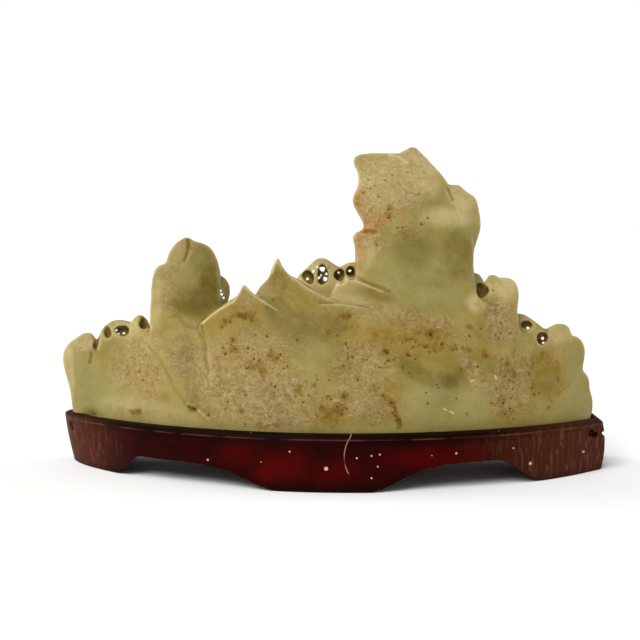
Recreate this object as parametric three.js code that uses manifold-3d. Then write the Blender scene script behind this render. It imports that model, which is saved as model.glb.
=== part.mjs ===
// Soapstone mountain range on its carved hardwood stand, in millimetres with +Z up.
// The origin is on the table, under the middle of the stand. The plain back of the carving faces -Y.
import * as THREE from "three";
import { mergeVertices } from "three/addons/utils/BufferGeometryUtils.js";
import Module from "manifold-3d";

const wasm = await Module();
wasm.setup();

// Stand: overall size, and the arc that its bowed back follows
const STAND_LENGTH = 282;
const STAND_DEPTH = 90;
const STAND_HEIGHT = 26.7;
const FOOT_FLARE = 4;
const BACK_ARC = { x: 10, rimRadius: 228, footRadius: 196 };
const FRONT_ARC = { x: 0, radius: 1400 };
const LEFT_END_LEAN = 3.4;
const END_LEAN_CURVE = 1.5;
const RIGHT_END_SWELL = { z: 11, drop: 1.2, span: 11 };
const CORNER_ROUNDING = { left: 13, front: 7 };
const OUTLINE_STEPS = [4, 20, 1, 3, 8, 4];
const RIM_ROUNDING = 0.8;
const APRON_THICKNESS = 9;
const UNDERSIDE_HEIGHT = 15.5;
const LEFT_ARCH = { outer: -112, shoulder: -95, crown: -73, inner: -24, height: 11 };
const RIGHT_ARCH = { outer: 110, shoulder: 80, crown: 66, inner: 15, height: 12.8 };
const SCROLL_EYE_RADIUS = 2.3;
const SCROLL_EYE_DEPTH = 3.5;
const SCROLL_EYE_HEIGHT = 20.8;
const SCROLL_EYES_X = [-137, 132.6];
const SCROLL_NOTCH = { x: 140.4, z: 19.4, depth: 2.4, height: 2.6, length: 13 };
const CLEARANCE = 5;

// Stone: its foot sits in a recess in the stand's top, with a small gap all round
const SEAT_GAP = 0.35;
const RECESS_FLOOR = 20;
const STONE_FOOT = { left: -135.4, right: 136, lip: 7 };

// Height of the massif's crest along its length, and how far in front of the back foot it lies
const CREST = [
  [-141, 34], [-132, 56], [-122, 61], [-109, 69], [-93, 73], [-71, 75], [-45, 82], [-25, 85],
  [1, 88], [29, 84], [61, 80], [81, 78], [96, 75], [109, 66], [121, 60], [130, 48], [137, 30],
];
const CREST_SETBACK = 20;
const CREST_PEAKEDNESS = 1.1;
const BACK_HOLLOW = 1.3;
const FRONT_HOLLOW = 2.6;
const MASSIF_ROWS = 28;
const MASSIF_SIDES = 14;
const MASSIF_ARCH_SHARE = 0.88;
const MASSIF_END_ROUNDING = { left: 5, right: 9 };
const MASSIF_END_CROWDING = 1.2;
const MASSIF_REACH = 0.9995;
const FOLD_FADE = 10;

// Soft folds of the back face: middle [x, z], half size across and along, tilt in degrees, push outwards
const FOLDS = [
  { at: [-102, 46], size: [15, 28], tilt: -8, out: 1.4 },
  { at: [-69, 50], size: [6, 24], tilt: -12, out: -2.2 },
  { at: [-25, 56], size: [15, 26], tilt: 20, out: 1.6 },
  { at: [11, 58], size: [9, 24], tilt: -30, out: -1.6 },
  { at: [51, 42], size: [14, 18], tilt: 34, out: 2.2 },
  { at: [70, 40], size: [7, 17], tilt: 36, out: -2.4 },
  { at: [89, 56], size: [12, 15], tilt: 30, out: 2 },
];

// Crags: edge is [height, left, right] as seen from the back, and depth is [height, back, front]
const CRAGS = [
  { // boulder at the left end
    edge: [
      [24, -136, -111], [38, -137, -113], [55, -140.4, -119], [62.6, -138.4, -121.6], [69, -130, -125.6],
    ],
    depth: [[24, 13, 31], [50, 10, 31], [63, 14, 28], [69, 18, 23]],
    steps: 2,
  },
  { // rounded rise left of the left peak
    edge: [[52, -125, -91], [66, -122, -94], [73, -118, -98], [75.8, -114, -108]],
    depth: [[52, 9, 26], [66, 11.5, 26], [75.8, 16, 22]],
    steps: 2,
  },
  { // small head beside it
    edge: [[56, -105, -93], [72, -104.4, -94.2], [76.6, -102.8, -95.6], [79, -100, -98]],
    depth: [[56, 8, 24], [72, 11, 22], [79, 14, 18]],
    steps: 2,
    sides: 9,
  },
  { // broad left peak, left half
    edge: [
      [40, -97, -56], [74, -93, -59], [94, -92, -61], [101, -90.6, -62], [104.8, -88.2, -63], [106, -84.6, -64],
      [112, -82.2, -67], [116.6, -79, -68.4], [119.4, -75, -72.4],
    ],
    depth: [[40, -3, 25], [74, -2, 22], [100, 1, 17], [112, 2, 15], [119.4, 5, 12]],
    square: 2.7,
  },
  { // broad left peak, right half
    edge: [
      [40, -90, -50], [88, -85, -55.6], [100, -83, -56.6], [106, -81, -57.6], [110, -79, -58.8],
      [113.4, -77, -60.8], [116, -75, -64], [117.2, -72, -67.6],
    ],
    depth: [[40, -5, 26], [80, -1.4, 22], [100, 2, 18], [117, 5, 11]],
    square: 2.7,
  },
  { // ridge in front of the left peak
    edge: [
      [50, -85, 3], [64, -77, -7], [76, -67, -13], [81, -61, -18], [85, -55.8, -25], [88.8, -50.8, -31.6],
      [91, -47.2, -35.8], [94.4, -45, -40], [97, -43.7, -42.2],
    ],
    depth: [[50, -20, 10], [64, -20, 4], [76, -18.4, -2], [88, -16.6, -8], [97, -15.4, -13]],
  },
  { // pointed spire left of the middle
    edge: [
      [60, -47, 21], [76, -44, 15], [88, -40.6, 3.6], [92, -37.6, -4.4], [96, -35, -11.4], [99, -32, -16],
      [101.4, -30.6, -20.4], [105, -29.5, -23.6], [109.8, -27, -26],
    ],
    depth: [[60, -18, 12], [76, -15, 8], [92, -12.4, 2], [101, -11.4, -6], [109.8, -10.6, -9]],
  },
  { // low ridge at the foot of the tall peak
    edge: [[60, -15, 59], [80, -7, 51], [90, -1, 38], [95, 1.6, 25.4], [98.4, 3.4, 16.4], [100.8, 7.2, 10]],
    depth: [[60, -18, 10], [80, -14, 8], [92, -10.4, 2], [100.8, -8.4, -6]],
    steps: 2,
  },
  { // pierced rise between the spire and the tall peak
    edge: [
      [44, -25, 25], [92, -19, 21], [98.7, -17, 19], [102.3, -13.4, 8], [105.7, -9.8, 1.6],
      [108.2, -6.9, -2.6],
    ],
    depth: [[44, -6, 24], [92, 6, 24], [108.2, 12, 19]],
  },
  { // second head of that rise
    edge: [[86, -3, 25], [102, 4.2, 22], [105, 6.2, 21], [106.6, 10, 18]],
    depth: [[86, 5, 25], [106.6, 12, 19]],
    sides: 9,
  },
  { // tall peak
    edge: [
      [40, -10, 92], [84, 7, 79], [98, 11.6, 73.4], [114, 12.2, 72.6], [120.5, 11.6, 72.4], [123.6, 16.4, 72],
      [127, 16.4, 70.6], [132, 13.4, 68.6], [138.3, 11, 64.6], [147, 14, 59.4], [153, 13.4, 54.6],
      [157, 11.4, 50.6], [160.4, 12.4, 47.6], [161.8, 16, 45],
    ],
    depth: [
      [40, -20, 26], [72, -18.6, 25], [88, -12.6, 24], [104, -6.4, 21], [120, -3, 18], [155, 1, 15],
      [161.8, 4, 12],
    ],
    square: 3.2,
    sides: 14,
  },
  { // summit of the tall peak
    edge: [
      [136, 25, 61], [146, 28, 58.4], [153, 30, 52.8], [158, 32, 49.2], [161.5, 34, 46.4], [165, 39.4, 43],
    ],
    depth: [[136, 4, 13], [146, 1, 12], [156, 1.4, 9], [165, 4, 6]],
    steps: 2,
  },
  { // crag behind the right edge of the tall peak
    edge: [
      [84, 53, 73], [104, 55, 72.6], [114, 56, 73.8], [124, 57, 76.4], [134, 58, 75.4], [139.6, 59, 73.6],
      [142.6, 59.4, 69.4], [146.2, 60.6, 65.4],
    ],
    depth: [[84, 2, 26], [120, 4, 18], [146.2, 7, 12]],
  },
  { // knob below that crag
    edge: [[70, 61, 85], [90, 65, 81], [97, 68, 78.6], [101, 70.6, 76]],
    depth: [[70, -4, 22], [90, 2, 18], [101, 8, 14]],
    steps: 2,
  },
  { // double-headed lobe to the right of the tall peak
    edge: [[40, 57, 111], [70, 69, 97], [82, 73, 94.8], [92, 76, 95.2], [97, 78, 93.4], [99.4, 83, 90.4]],
    depth: [[40, -8, 25], [70, -8, 18], [90, -3, 9], [99.4, 0, 4]],
    square: 2.8,
    steps: 2,
  },
  { // left head of that lobe
    edge: [[88, 76.6, 87], [96, 77.4, 86.4], [101, 79.8, 83.4]],
    depth: [[88, -3, 6], [101, -1, 3]],
    steps: 2,
    sides: 10,
  },
  { // pierced slope running down to the right end
    edge: [[44, 91, 127], [66, 93, 114], [71, 93, 111.6], [75.6, 93, 106], [80, 94, 99.4]],
    depth: [[44, -2, 26], [66, -1, 21], [80, 4, 14]],
    steps: 2,
  },
  { // first lobe of the right end
    edge: [[40, 99, 129], [60, 107, 126.4], [69, 109.6, 124], [73, 111.6, 122.4], [75, 115.4, 120]],
    depth: [[40, 4, 26], [60, 2, 20], [75, 5, 10]],
    steps: 2,
  },
  { // second lobe of the right end
    edge: [[36, 107, 132], [50, 111, 131], [60, 113, 131.6], [65.6, 117, 129.8], [68.6, 121, 126.6]],
    depth: [[36, 6, 30], [60, 4, 20], [68.6, 6, 11]],
    steps: 2,
  },
  { // foot of the right end
    edge: [[24, 107, 137.4], [34, 107, 137.4], [40, 111, 135.4], [47, 115, 134], [50.4, 121, 131]],
    depth: [[24, 8, 30], [40, 5, 26], [50.4, 8, 16]],
  },
];

// Plainer crags of the front, in two tiers: middle, half width, height, and the depth that they span.
// A round top has a high shoulder, and a pointed one draws in from its foot
const FRONT_CRAGS = [
  { x: -116, half: 14, top: 50, depth: [16, 32], pointed: false },
  { x: -84, half: 19, top: 58, depth: [14, 34], pointed: false },
  { x: -46, half: 19, top: 50, depth: [14, 34.5], pointed: true },
  { x: -12, half: 17, top: 60, depth: [14, 34.5], pointed: false },
  { x: 26, half: 22, top: 56, depth: [14, 34.5], pointed: true },
  { x: 66, half: 20, top: 52, depth: [14, 34], pointed: false },
  { x: 104, half: 18, top: 56, depth: [12, 33], pointed: true },
  { x: -68, half: 17, top: 92, depth: [8, 27], pointed: true },
  { x: -30, half: 15, top: 86, depth: [2, 27], pointed: false },
  { x: 36, half: 19, top: 124, depth: [6, 28], pointed: true },
  { x: 62, half: 17, top: 98, depth: [6, 27], pointed: false },
  { x: 86, half: 12, top: 74, depth: [4, 26], pointed: true },
];
const FRONT_CRAG_STEPS = 4;
const FRONT_CRAG_SIDES = 10;
const FRONT_CRAG_FOOT = 22;
const FRONT_CRAG_TIP = { halfWidth: 1.2, depth: 6 };
const FRONT_CRAG_CURVES = { crowding: 1.3, pointed: 1.25, round: 2.6, face: 2.6, section: 0.8 };

// Pine trees on the front: foot of the trunk and its canopies, each with its middle and half sizes
const TRUNK_RADIUS = 2.4;
const PINES = [
  { foot: [-100, 28, 34], canopies: [{ at: [-104, 26, 63], size: [11, 6.6, 5] }] },
  { foot: [-52, 28, 34], canopies: [
    { at: [-57, 26.5, 68], size: [11, 6, 4.6] },
    { at: [-50, 25, 79], size: [9, 6, 4.4] },
  ] },
  { foot: [10, 28, 34], canopies: [
    { at: [4, 27.5, 74], size: [11, 7, 5] },
    { at: [14, 25, 86], size: [11, 7, 5] },
    { at: [8, 22, 96], size: [8, 6, 4.6] },
  ] },
  { foot: [84, 28, 32], canopies: [{ at: [88, 27, 62], size: [12, 6.4, 5] }] },
];
const SIDE_TREE = { at: [-58, 15, 90], size: [5.6, 5, 10] };
const CANOPY_LUMPS = { size: 0.12, round: 5, up: 3 };

// Bores drilled into the back along the top line: middle [x, z], half width, half height and tilt in
// degrees, and how far in they end
const BORES = [
  { at: [-116.6, 70.4], size: [1.7, 3.6], tilt: -20, end: 21 },
  { at: [-108.2, 71.8], size: [3.6, 2.1], tilt: 10, end: 21 },
  { at: [-96.6, 75], size: [2.2, 2.4], tilt: 0, end: 18 },
  { at: [-124.4, 64], size: [1.3, 4.6], tilt: 14, end: 22 },
  { at: [-11.8, 99.4], size: [2.3, 3.6], tilt: -18, end: 16 },
  { at: [-4, 100.4], size: [2.5, 4], tilt: 0, end: 16 },
  { at: [4.4, 100.6], size: [2.4, 3.4], tilt: 12, end: 16 },
  { at: [10, 102.4], size: [1.6, 2.6], tilt: 0, end: 15 },
  { at: [75, 93.2], size: [3.7, 3.8], tilt: 0, end: 11 },
  { at: [100.4, 75.4], size: [2.7, 1.8], tilt: 8, end: 10 },
  { at: [108.4, 69], size: [3, 3], tilt: 0, end: 10 },
];
const BORE_START = -40;

function signedPower(value, exponent) {
  return Math.abs(value) < 1e-6 ? 0 : Math.sign(value) * Math.abs(value) ** exponent;
}

// Smooth run through a short table whose first column is the position: gives the other columns
function along(table, position) {
  let i = 0;
  while (i < table.length - 2 && position > table[i + 1][0]) {
    i += 1;
  }
  const before = table[Math.max(i - 1, 0)];
  const from = table[i];
  const to = table[i + 1];
  const after = table[Math.min(i + 2, table.length - 1)];
  const span = to[0] - from[0];
  const s = THREE.MathUtils.clamp((position - from[0]) / span, 0, 1);
  return from.slice(1).map((value, column) => {
    const k = column + 1;
    const slopeFrom = ((to[k] - before[k]) / (to[0] - before[0])) * span;
    const slopeTo = ((after[k] - value) / (after[0] - from[0])) * span;
    const ease = s * s * (3 - 2 * s);
    return value + (to[k] - value) * ease
      + slopeFrom * s * (1 - s) ** 2 - slopeTo * s * s * (1 - s);
  });
}

// Closed solid from stacked rings: place(t, angle, reach) gives the point for the fraction t along
// the stack, the angle round the ring, and reach, which is 0 in the middle of an end cap and 1 outside
function loft(rows, sides, place) {
  const geometry = new THREE.CylinderGeometry(1, 1, 1, sides, rows);
  const position = geometry.attributes.position;
  for (let i = 0; i < position.count; i += 1) {
    const x = position.getX(i);
    const z = position.getZ(i);
    const point = place(position.getY(i) + 0.5, Math.atan2(x, z), Math.min(Math.hypot(x, z), 1));
    position.setXYZ(i, point.x, point.y, point.z);
  }
  return geometry;
}

// Closed mesh to solid, with its faces turned outwards
function solid(geometry) {
  geometry.deleteAttribute("normal");
  geometry.deleteAttribute("uv");
  const merged = mergeVertices(geometry, 1e-4);
  const corners = merged.attributes.position.array;
  const index = Uint32Array.from(merged.index.array);
  let volume = 0;
  const [a, b, c] = [new THREE.Vector3(), new THREE.Vector3(), new THREE.Vector3()];
  for (let i = 0; i < index.length; i += 3) {
    a.fromArray(corners, index[i] * 3);
    b.fromArray(corners, index[i + 1] * 3);
    c.fromArray(corners, index[i + 2] * 3);
    volume += a.dot(b.cross(c));
  }
  if (volume < 0) {
    for (let i = 0; i < index.length; i += 3) {
      [index[i], index[i + 1]] = [index[i + 1], index[i]];
    }
  }
  const mesh = new wasm.Mesh({ numProp: 3, vertProperties: Float32Array.from(corners), triVerts: index });
  return new wasm.Manifold(mesh);
}

function named(name, shape, material) {
  const mesh = shape.getMesh();
  const geometry = new THREE.BufferGeometry();
  geometry.setAttribute("position", new THREE.BufferAttribute(mesh.vertProperties, 3));
  geometry.setIndex(new THREE.BufferAttribute(mesh.triVerts, 1));
  geometry.computeVertexNormals();
  const result = new THREE.Mesh(geometry, material);
  result.name = name;
  return result;
}

// Back edge of the plan at one height: lift is 0 at the rim and 1 at the feet, inset is towards the middle
function backArc(lift, inset) {
  const apex = FOOT_FLARE * (1 - lift) - STAND_DEPTH / 2;
  const radius = THREE.MathUtils.lerp(BACK_ARC.rimRadius, BACK_ARC.footRadius, lift);
  return { y: apex + radius, radius: radius - inset };
}

function frontArc(lift, inset) {
  const apex = STAND_DEPTH / 2 - FOOT_FLARE * (1 - lift);
  return { y: apex - FRONT_ARC.radius, radius: FRONT_ARC.radius - inset };
}

function backEdge(x, lift, inset) {
  const { y, radius } = backArc(lift, inset);
  return y - Math.sqrt(radius ** 2 - (x - BACK_ARC.x) ** 2);
}

function frontEdge(x, lift, inset) {
  const { y, radius } = frontArc(lift, inset);
  return y + Math.sqrt(radius ** 2 - (x - FRONT_ARC.x) ** 2);
}

// Outline in plan between a left and a right end, with its corners rounded
function planOutline({ left, right, lift, inset }) {
  const back = backArc(lift, inset);
  const front = frontArc(lift, inset);
  const backAt = (x) => backEdge(x, lift, inset);
  const frontAt = (x) => frontEdge(x, lift, inset);
  const backAngle = (x) => 1.5 * Math.PI + Math.asin((x - BACK_ARC.x) / back.radius);
  const frontAngle = (x) => Math.PI / 2 - Math.asin((x - FRONT_ARC.x) / front.radius);
  const inner = left + CORNER_ROUNDING.left;
  const outer = right - CORNER_ROUNDING.front;
  const waist = (backAt(left) + frontAt(left)) / 2;
  const shape = new THREE.Shape();
  shape.moveTo(left, waist);
  shape.quadraticCurveTo(left, backAt(left), inner, backAt(inner));
  shape.absarc(BACK_ARC.x, back.y, back.radius, backAngle(inner), backAngle(right), false);
  shape.lineTo(right, frontAt(right) - CORNER_ROUNDING.front);
  shape.quadraticCurveTo(right, frontAt(right), outer, frontAt(outer));
  shape.absarc(FRONT_ARC.x, front.y, front.radius, frontAngle(outer), frontAngle(inner), false);
  shape.quadraticCurveTo(left, frontAt(left), left, waist);
  const spans = shape.curves.filter((curve) => curve.getLength() > 1e-6);
  return spans.flatMap((curve, i) => curve.getPoints(OUTLINE_STEPS[i]).slice(0, -1));
}

// Upright block on a plan outline: each level has its height z and the ends and edges of its outline
function planBlock(levels) {
  const outlines = levels.map(planOutline);
  const sides = outlines[0].length;
  return solid(loft(levels.length - 1, sides, (t, angle, reach) => {
    const level = Math.round(t * (levels.length - 1));
    const rim = outlines[level][(Math.round((angle / (2 * Math.PI)) * sides) + sides) % sides];
    return new THREE.Vector3(rim.x * reach, rim.y * reach, levels[level].z);
  }));
}

function standLevel(z, inset) {
  const lift = 1 - z / STAND_HEIGHT;
  const swell = (z - RIGHT_END_SWELL.z) / RIGHT_END_SWELL.span;
  return {
    z,
    left: -STAND_LENGTH / 2 + LEFT_END_LEAN * lift ** END_LEAN_CURVE + (z < STAND_HEIGHT ? inset : 0),
    right: STAND_LENGTH / 2 - RIGHT_END_SWELL.drop * swell ** 2 - inset,
    lift,
    inset,
  };
}

// Cut through both aprons under one arch: a short curve up from the end foot, a flat crown, and a
// long double curve down to the middle foot
function archCut({ outer, shoulder, crown, inner, height }) {
  const shape = new THREE.Shape();
  const rise = shoulder - outer;
  const fall = inner - crown;
  shape.moveTo(outer, -CLEARANCE);
  shape.lineTo(outer, 0);
  shape.bezierCurveTo(outer + rise * 0.55, 0.6, shoulder - rise * 0.35, height, shoulder, height);
  shape.lineTo(crown, height);
  shape.bezierCurveTo(crown + fall * 0.62, height, inner - fall * 0.3, 0.4, inner, 0);
  shape.lineTo(inner, -CLEARANCE);
  shape.closePath();
  const geometry = new THREE.ExtrudeGeometry(shape, {
    depth: STAND_DEPTH * 1.4, bevelEnabled: false, curveSegments: 9,
  });
  geometry.rotateX(Math.PI / 2);
  geometry.translate(0, STAND_DEPTH * 0.7, 0);
  return solid(geometry);
}

// Round blind hole through the back of the apron near one end, square to the bowed wall
function scrollEye(x) {
  const y = backEdge(x, 0, 0);
  const turn = Math.asin((x - BACK_ARC.x) / BACK_ARC.rimRadius);
  const geometry = new THREE.CylinderGeometry(SCROLL_EYE_RADIUS, SCROLL_EYE_RADIUS, SCROLL_EYE_DEPTH * 2, 12);
  geometry.rotateZ(turn);
  geometry.translate(x, y, SCROLL_EYE_HEIGHT);
  return solid(geometry);
}

function scrollNotch() {
  const { x, z, depth, height, length } = SCROLL_NOTCH;
  const geometry = new THREE.CylinderGeometry(height / 2, height / 2, length, 10);
  geometry.scale(depth / (height / 2), 1, 1);
  geometry.translate(x, backEdge(x, 0, 0), z);
  return solid(geometry);
}

// Outline of the stone's foot at one height, grown by a gap
function stoneLevel(z, gap) {
  const { left, right, lip } = STONE_FOOT;
  return { z, left: left - gap, right: right + gap, lift: 0, inset: lip - gap };
}

function stand() {
  const block = planBlock([
    standLevel(0, 0), standLevel(RIGHT_END_SWELL.z, 0), standLevel(19, 0),
    standLevel(STAND_HEIGHT - RIM_ROUNDING, 0), standLevel(STAND_HEIGHT, RIM_ROUNDING),
  ]);
  const recess = planBlock([
    stoneLevel(RECESS_FLOOR, SEAT_GAP), stoneLevel(STAND_HEIGHT + CLEARANCE, SEAT_GAP),
  ]);
  const inside = {
    left: -STAND_LENGTH / 2 + LEFT_END_LEAN + APRON_THICKNESS,
    right: STAND_LENGTH / 2 - APRON_THICKNESS - 2,
    lift: 1,
    inset: APRON_THICKNESS,
  };
  const underside = planBlock([{ z: -CLEARANCE, ...inside }, { z: UNDERSIDE_HEIGHT, ...inside }]);
  const cuts = [
    recess, underside, archCut(LEFT_ARCH), archCut(RIGHT_ARCH),
    ...SCROLL_EYES_X.map(scrollEye), scrollNotch(),
  ];
  return cuts.reduce((wood, cut) => wood.subtract(cut), block);
}

// How far the folds push the back face out at one place
function foldPush(x, z) {
  let push = 0;
  for (const { at, size, tilt, out } of FOLDS) {
    const turn = THREE.MathUtils.degToRad(tilt);
    const dx = x - at[0];
    const dz = z - at[1];
    const across = (dx * Math.cos(turn) - dz * Math.sin(turn)) / size[0];
    const up = (dx * Math.sin(turn) + dz * Math.cos(turn)) / size[1];
    push += out * Math.exp(-(across ** 2) - up ** 2);
  }
  return push;
}

// Long body of the range, from one end of the foot to the other: each section is an arch from the
// back foot over the crest to the front foot, and a flat floor
function massif() {
  const floor = RECESS_FLOOR + SEAT_GAP;
  const middle = (STONE_FOOT.left + STONE_FOOT.right) / 2;
  const half = (STONE_FOOT.right - STONE_FOOT.left) / 2;
  return solid(loft(MASSIF_ROWS, MASSIF_SIDES, (t, angle, reach) => {
    const w = 2 * t - 1;
    const u = MASSIF_REACH * Math.sign(w) * (1 - (1 - Math.abs(w)) ** MASSIF_END_CROWDING);
    const x = middle + half * u;
    const rounding = u < 0 ? MASSIF_END_ROUNDING.left : MASSIF_END_ROUNDING.right;
    const open = (1 - Math.abs(u) ** rounding) ** (1 / rounding);
    const backFoot = backEdge(x, 0, STONE_FOOT.lip);
    const frontFoot = frontEdge(x, 0, STONE_FOOT.lip);
    const centre = (backFoot + frontFoot) / 2;
    const back = THREE.MathUtils.lerp(centre, backFoot, open);
    const front = THREE.MathUtils.lerp(centre, frontFoot, open);
    const crestY = Math.min(back + CREST_SETBACK, centre + 2);
    const rise = along(CREST, x)[0] - floor;
    const round = (angle < 0 ? angle + 2 * Math.PI : angle) / (2 * Math.PI);
    let y;
    let z = floor;
    if (round < MASSIF_ARCH_SHARE) {
      const arch = (Math.PI * round) / MASSIF_ARCH_SHARE;
      const spread = Math.abs(Math.cos(arch));
      z = floor + rise * Math.sin(arch) ** CREST_PEAKEDNESS;
      if (arch < Math.PI / 2) {
        const fade = THREE.MathUtils.smoothstep(z, STAND_HEIGHT, STAND_HEIGHT + FOLD_FADE);
        y = crestY + (back - crestY) * spread ** BACK_HOLLOW - foldPush(x, z) * open * fade;
      } else {
        y = crestY + (front - crestY) * spread ** FRONT_HOLLOW;
      }
    } else {
      y = THREE.MathUtils.lerp(front, back, (round - MASSIF_ARCH_SHARE) / (1 - MASSIF_ARCH_SHARE));
    }
    return new THREE.Vector3(
      x,
      THREE.MathUtils.lerp(crestY, y, reach),
      THREE.MathUtils.lerp(floor + rise * 0.4, z, reach),
    );
  }));
}

// Upright crag with a ring at every height of its edge table, and steps - 1 more between them
function crag({ edge, depth, square = 2.3, steps = 1, sides = 12 }) {
  const spans = edge.length - 1;
  return solid(loft(spans * steps, sides, (t, angle, reach) => {
    const span = Math.min(Math.floor(t * spans + 1e-6), spans - 1);
    const z = THREE.MathUtils.lerp(edge[span][0], edge[span + 1][0], t * spans - span);
    const [left, right] = along(edge, z);
    const [back, front] = along(depth, z);
    const x = (left + right) / 2 + ((right - left) / 2) * signedPower(Math.cos(angle), 2 / square) * reach;
    const y = (back + front) / 2 + ((front - back) / 2) * signedPower(Math.sin(angle), 2 / square) * reach;
    return new THREE.Vector3(x, y, z);
  }));
}

function frontCrag({ x, half, top, depth: [back, front], pointed }) {
  return solid(loft(FRONT_CRAG_STEPS, FRONT_CRAG_SIDES, (t, angle, reach) => {
    const { crowding, pointed: draw, round, face: bow, section } = FRONT_CRAG_CURVES;
    const climb = 1 - (1 - t) ** crowding;
    const width = pointed ? (1 - climb) ** draw : Math.sqrt(1 - climb ** round);
    const halfWidth = THREE.MathUtils.lerp(FRONT_CRAG_TIP.halfWidth, half, width);
    const face = THREE.MathUtils.lerp(front, back + FRONT_CRAG_TIP.depth, climb ** bow);
    const y = (back + face) / 2 + ((face - back) / 2) * signedPower(Math.sin(angle), section) * reach;
    const z = THREE.MathUtils.lerp(FRONT_CRAG_FOOT, top, climb);
    return new THREE.Vector3(x + halfWidth * signedPower(Math.cos(angle), section) * reach, y, z);
  }));
}

// Lumpy tree canopy
function canopy({ at, size }) {
  const geometry = new THREE.IcosahedronGeometry(1, 1);
  const position = geometry.attributes.position;
  const { size: height, round, up } = CANOPY_LUMPS;
  const point = new THREE.Vector3();
  for (let i = 0; i < position.count; i += 1) {
    point.fromBufferAttribute(position, i);
    const wave = Math.sin(round * Math.atan2(point.y, point.x) + at[0]) * Math.cos(up * point.z + at[2]);
    const swell = 1 + height * wave;
    point.multiplyScalar(swell);
    position.setXYZ(i, at[0] + point.x * size[0], at[1] + point.y * size[1], at[2] + point.z * size[2]);
  }
  return solid(geometry);
}

function pine({ foot, canopies }) {
  const crown = new THREE.Vector3(...canopies[canopies.length - 1].at);
  const base = new THREE.Vector3(...foot);
  const trunk = new THREE.CylinderGeometry(TRUNK_RADIUS * 0.7, TRUNK_RADIUS, base.distanceTo(crown), 7);
  const axis = crown.clone().sub(base).normalize();
  trunk.applyQuaternion(new THREE.Quaternion().setFromUnitVectors(new THREE.Vector3(0, 1, 0), axis));
  const middle = base.clone().lerp(crown, 0.5);
  trunk.translate(middle.x, middle.y, middle.z);
  return canopies.reduce((tree, layer) => tree.add(canopy(layer)), solid(trunk));
}

// Oval bore into the back, stopping short of the front so that a thin screen is left
function bore({ at, size, tilt, end }) {
  const geometry = new THREE.CylinderGeometry(1, 1, end - BORE_START, 9);
  geometry.scale(size[0], 1, size[1]);
  geometry.rotateY(THREE.MathUtils.degToRad(-tilt));
  geometry.translate(at[0], (end + BORE_START) / 2, at[1]);
  return solid(geometry);
}

function carving() {
  let stone = massif();
  for (const shape of CRAGS) {
    stone = stone.add(crag(shape));
  }
  for (const shape of FRONT_CRAGS) {
    stone = stone.add(frontCrag(shape));
  }
  for (const tree of PINES) {
    stone = stone.add(pine(tree));
  }
  stone = stone.add(canopy(SIDE_TREE));
  for (const hole of BORES) {
    stone = stone.subtract(bore(hole));
  }
  const lip = STAND_HEIGHT + SEAT_GAP;
  const slab = new THREE.BoxGeometry(STAND_LENGTH * 1.4, STAND_DEPTH * 1.6, lip);
  slab.translate(0, 0, lip / 2);
  const keep = planBlock([stoneLevel(RECESS_FLOOR + SEAT_GAP, 0), stoneLevel(STAND_HEIGHT + CLEARANCE, 0)]);
  return stone.subtract(solid(slab).subtract(keep));
}

const soapstone = new THREE.MeshStandardMaterial({ color: 0x989268, roughness: 0.42, metalness: 0 });
const redwood = new THREE.MeshStandardMaterial({ color: 0x3c140f, roughness: 0.36, metalness: 0 });

const group = new THREE.Group();
group.add(named("mountain_carving", carving(), soapstone));
group.add(named("wood_stand", stand(), redwood));

export default group;
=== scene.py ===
"""Carved soapstone mountain range on its hardwood stand, dressed for a product picture.

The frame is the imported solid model. The plain back of the carving faces -Y, where the camera stands.
Shapes are worked out in millimetres and brought to metres when each piece is finished.
"""

import math
from functools import lru_cache
from typing import NamedTuple

import bmesh
import bpy
import numpy as np
from mathutils import Matrix, Vector, noise


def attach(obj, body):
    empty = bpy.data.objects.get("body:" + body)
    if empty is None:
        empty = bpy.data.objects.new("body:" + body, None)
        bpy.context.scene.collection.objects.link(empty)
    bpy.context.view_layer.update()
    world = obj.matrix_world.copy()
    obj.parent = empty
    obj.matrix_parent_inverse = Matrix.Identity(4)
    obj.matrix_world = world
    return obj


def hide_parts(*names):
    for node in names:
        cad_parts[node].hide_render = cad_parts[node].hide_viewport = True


bl_info = {
    "name": "Soapstone Mountain Carving",
    "version": (1, 0, 0),
    "blender": (4, 5, 0),
    "location": "3D View > Sidebar > Carving",
    "description": "Finished stone, stand and studio for a soapstone mountain carving",
    "category": "Object",
}

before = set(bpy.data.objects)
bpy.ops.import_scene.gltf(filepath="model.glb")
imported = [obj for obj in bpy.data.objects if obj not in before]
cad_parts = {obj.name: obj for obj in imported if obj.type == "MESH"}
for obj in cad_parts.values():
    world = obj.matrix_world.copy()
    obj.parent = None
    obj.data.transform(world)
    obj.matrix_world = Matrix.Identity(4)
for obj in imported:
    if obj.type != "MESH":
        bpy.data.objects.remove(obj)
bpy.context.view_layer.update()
MM = 0.001

# Stand
STAND_LENGTH = 282
STAND_DEPTH = 90
STAND_HEIGHT = 26.7
FOOT_FLARE = 4
BACK_ARC_X = 10
BACK_ARC_RIM_RADIUS = 228
BACK_ARC_FOOT_RADIUS = 196
FRONT_ARC_RADIUS = 1400
LEFT_END_LEAN = 3.4
END_LEAN_CURVE = 1.5
RIGHT_END_SWELL_HEIGHT = 11
RIGHT_END_SWELL_DROP = 1.2
RIGHT_END_SWELL_SPAN = 11
LEFT_CORNER_ROUNDING = 13
FRONT_CORNER_ROUNDING = 7
APRON_THICKNESS = 9
UNDERSIDE_HEIGHT = 15.5
CLEARANCE = 5


class Arch(NamedTuple):
    """Cut under the stand: where it leaves the end foot, its flat crown, and where it meets the middle foot."""

    outer: float
    shoulder: float
    crown: float
    inner: float
    height: float


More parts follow.
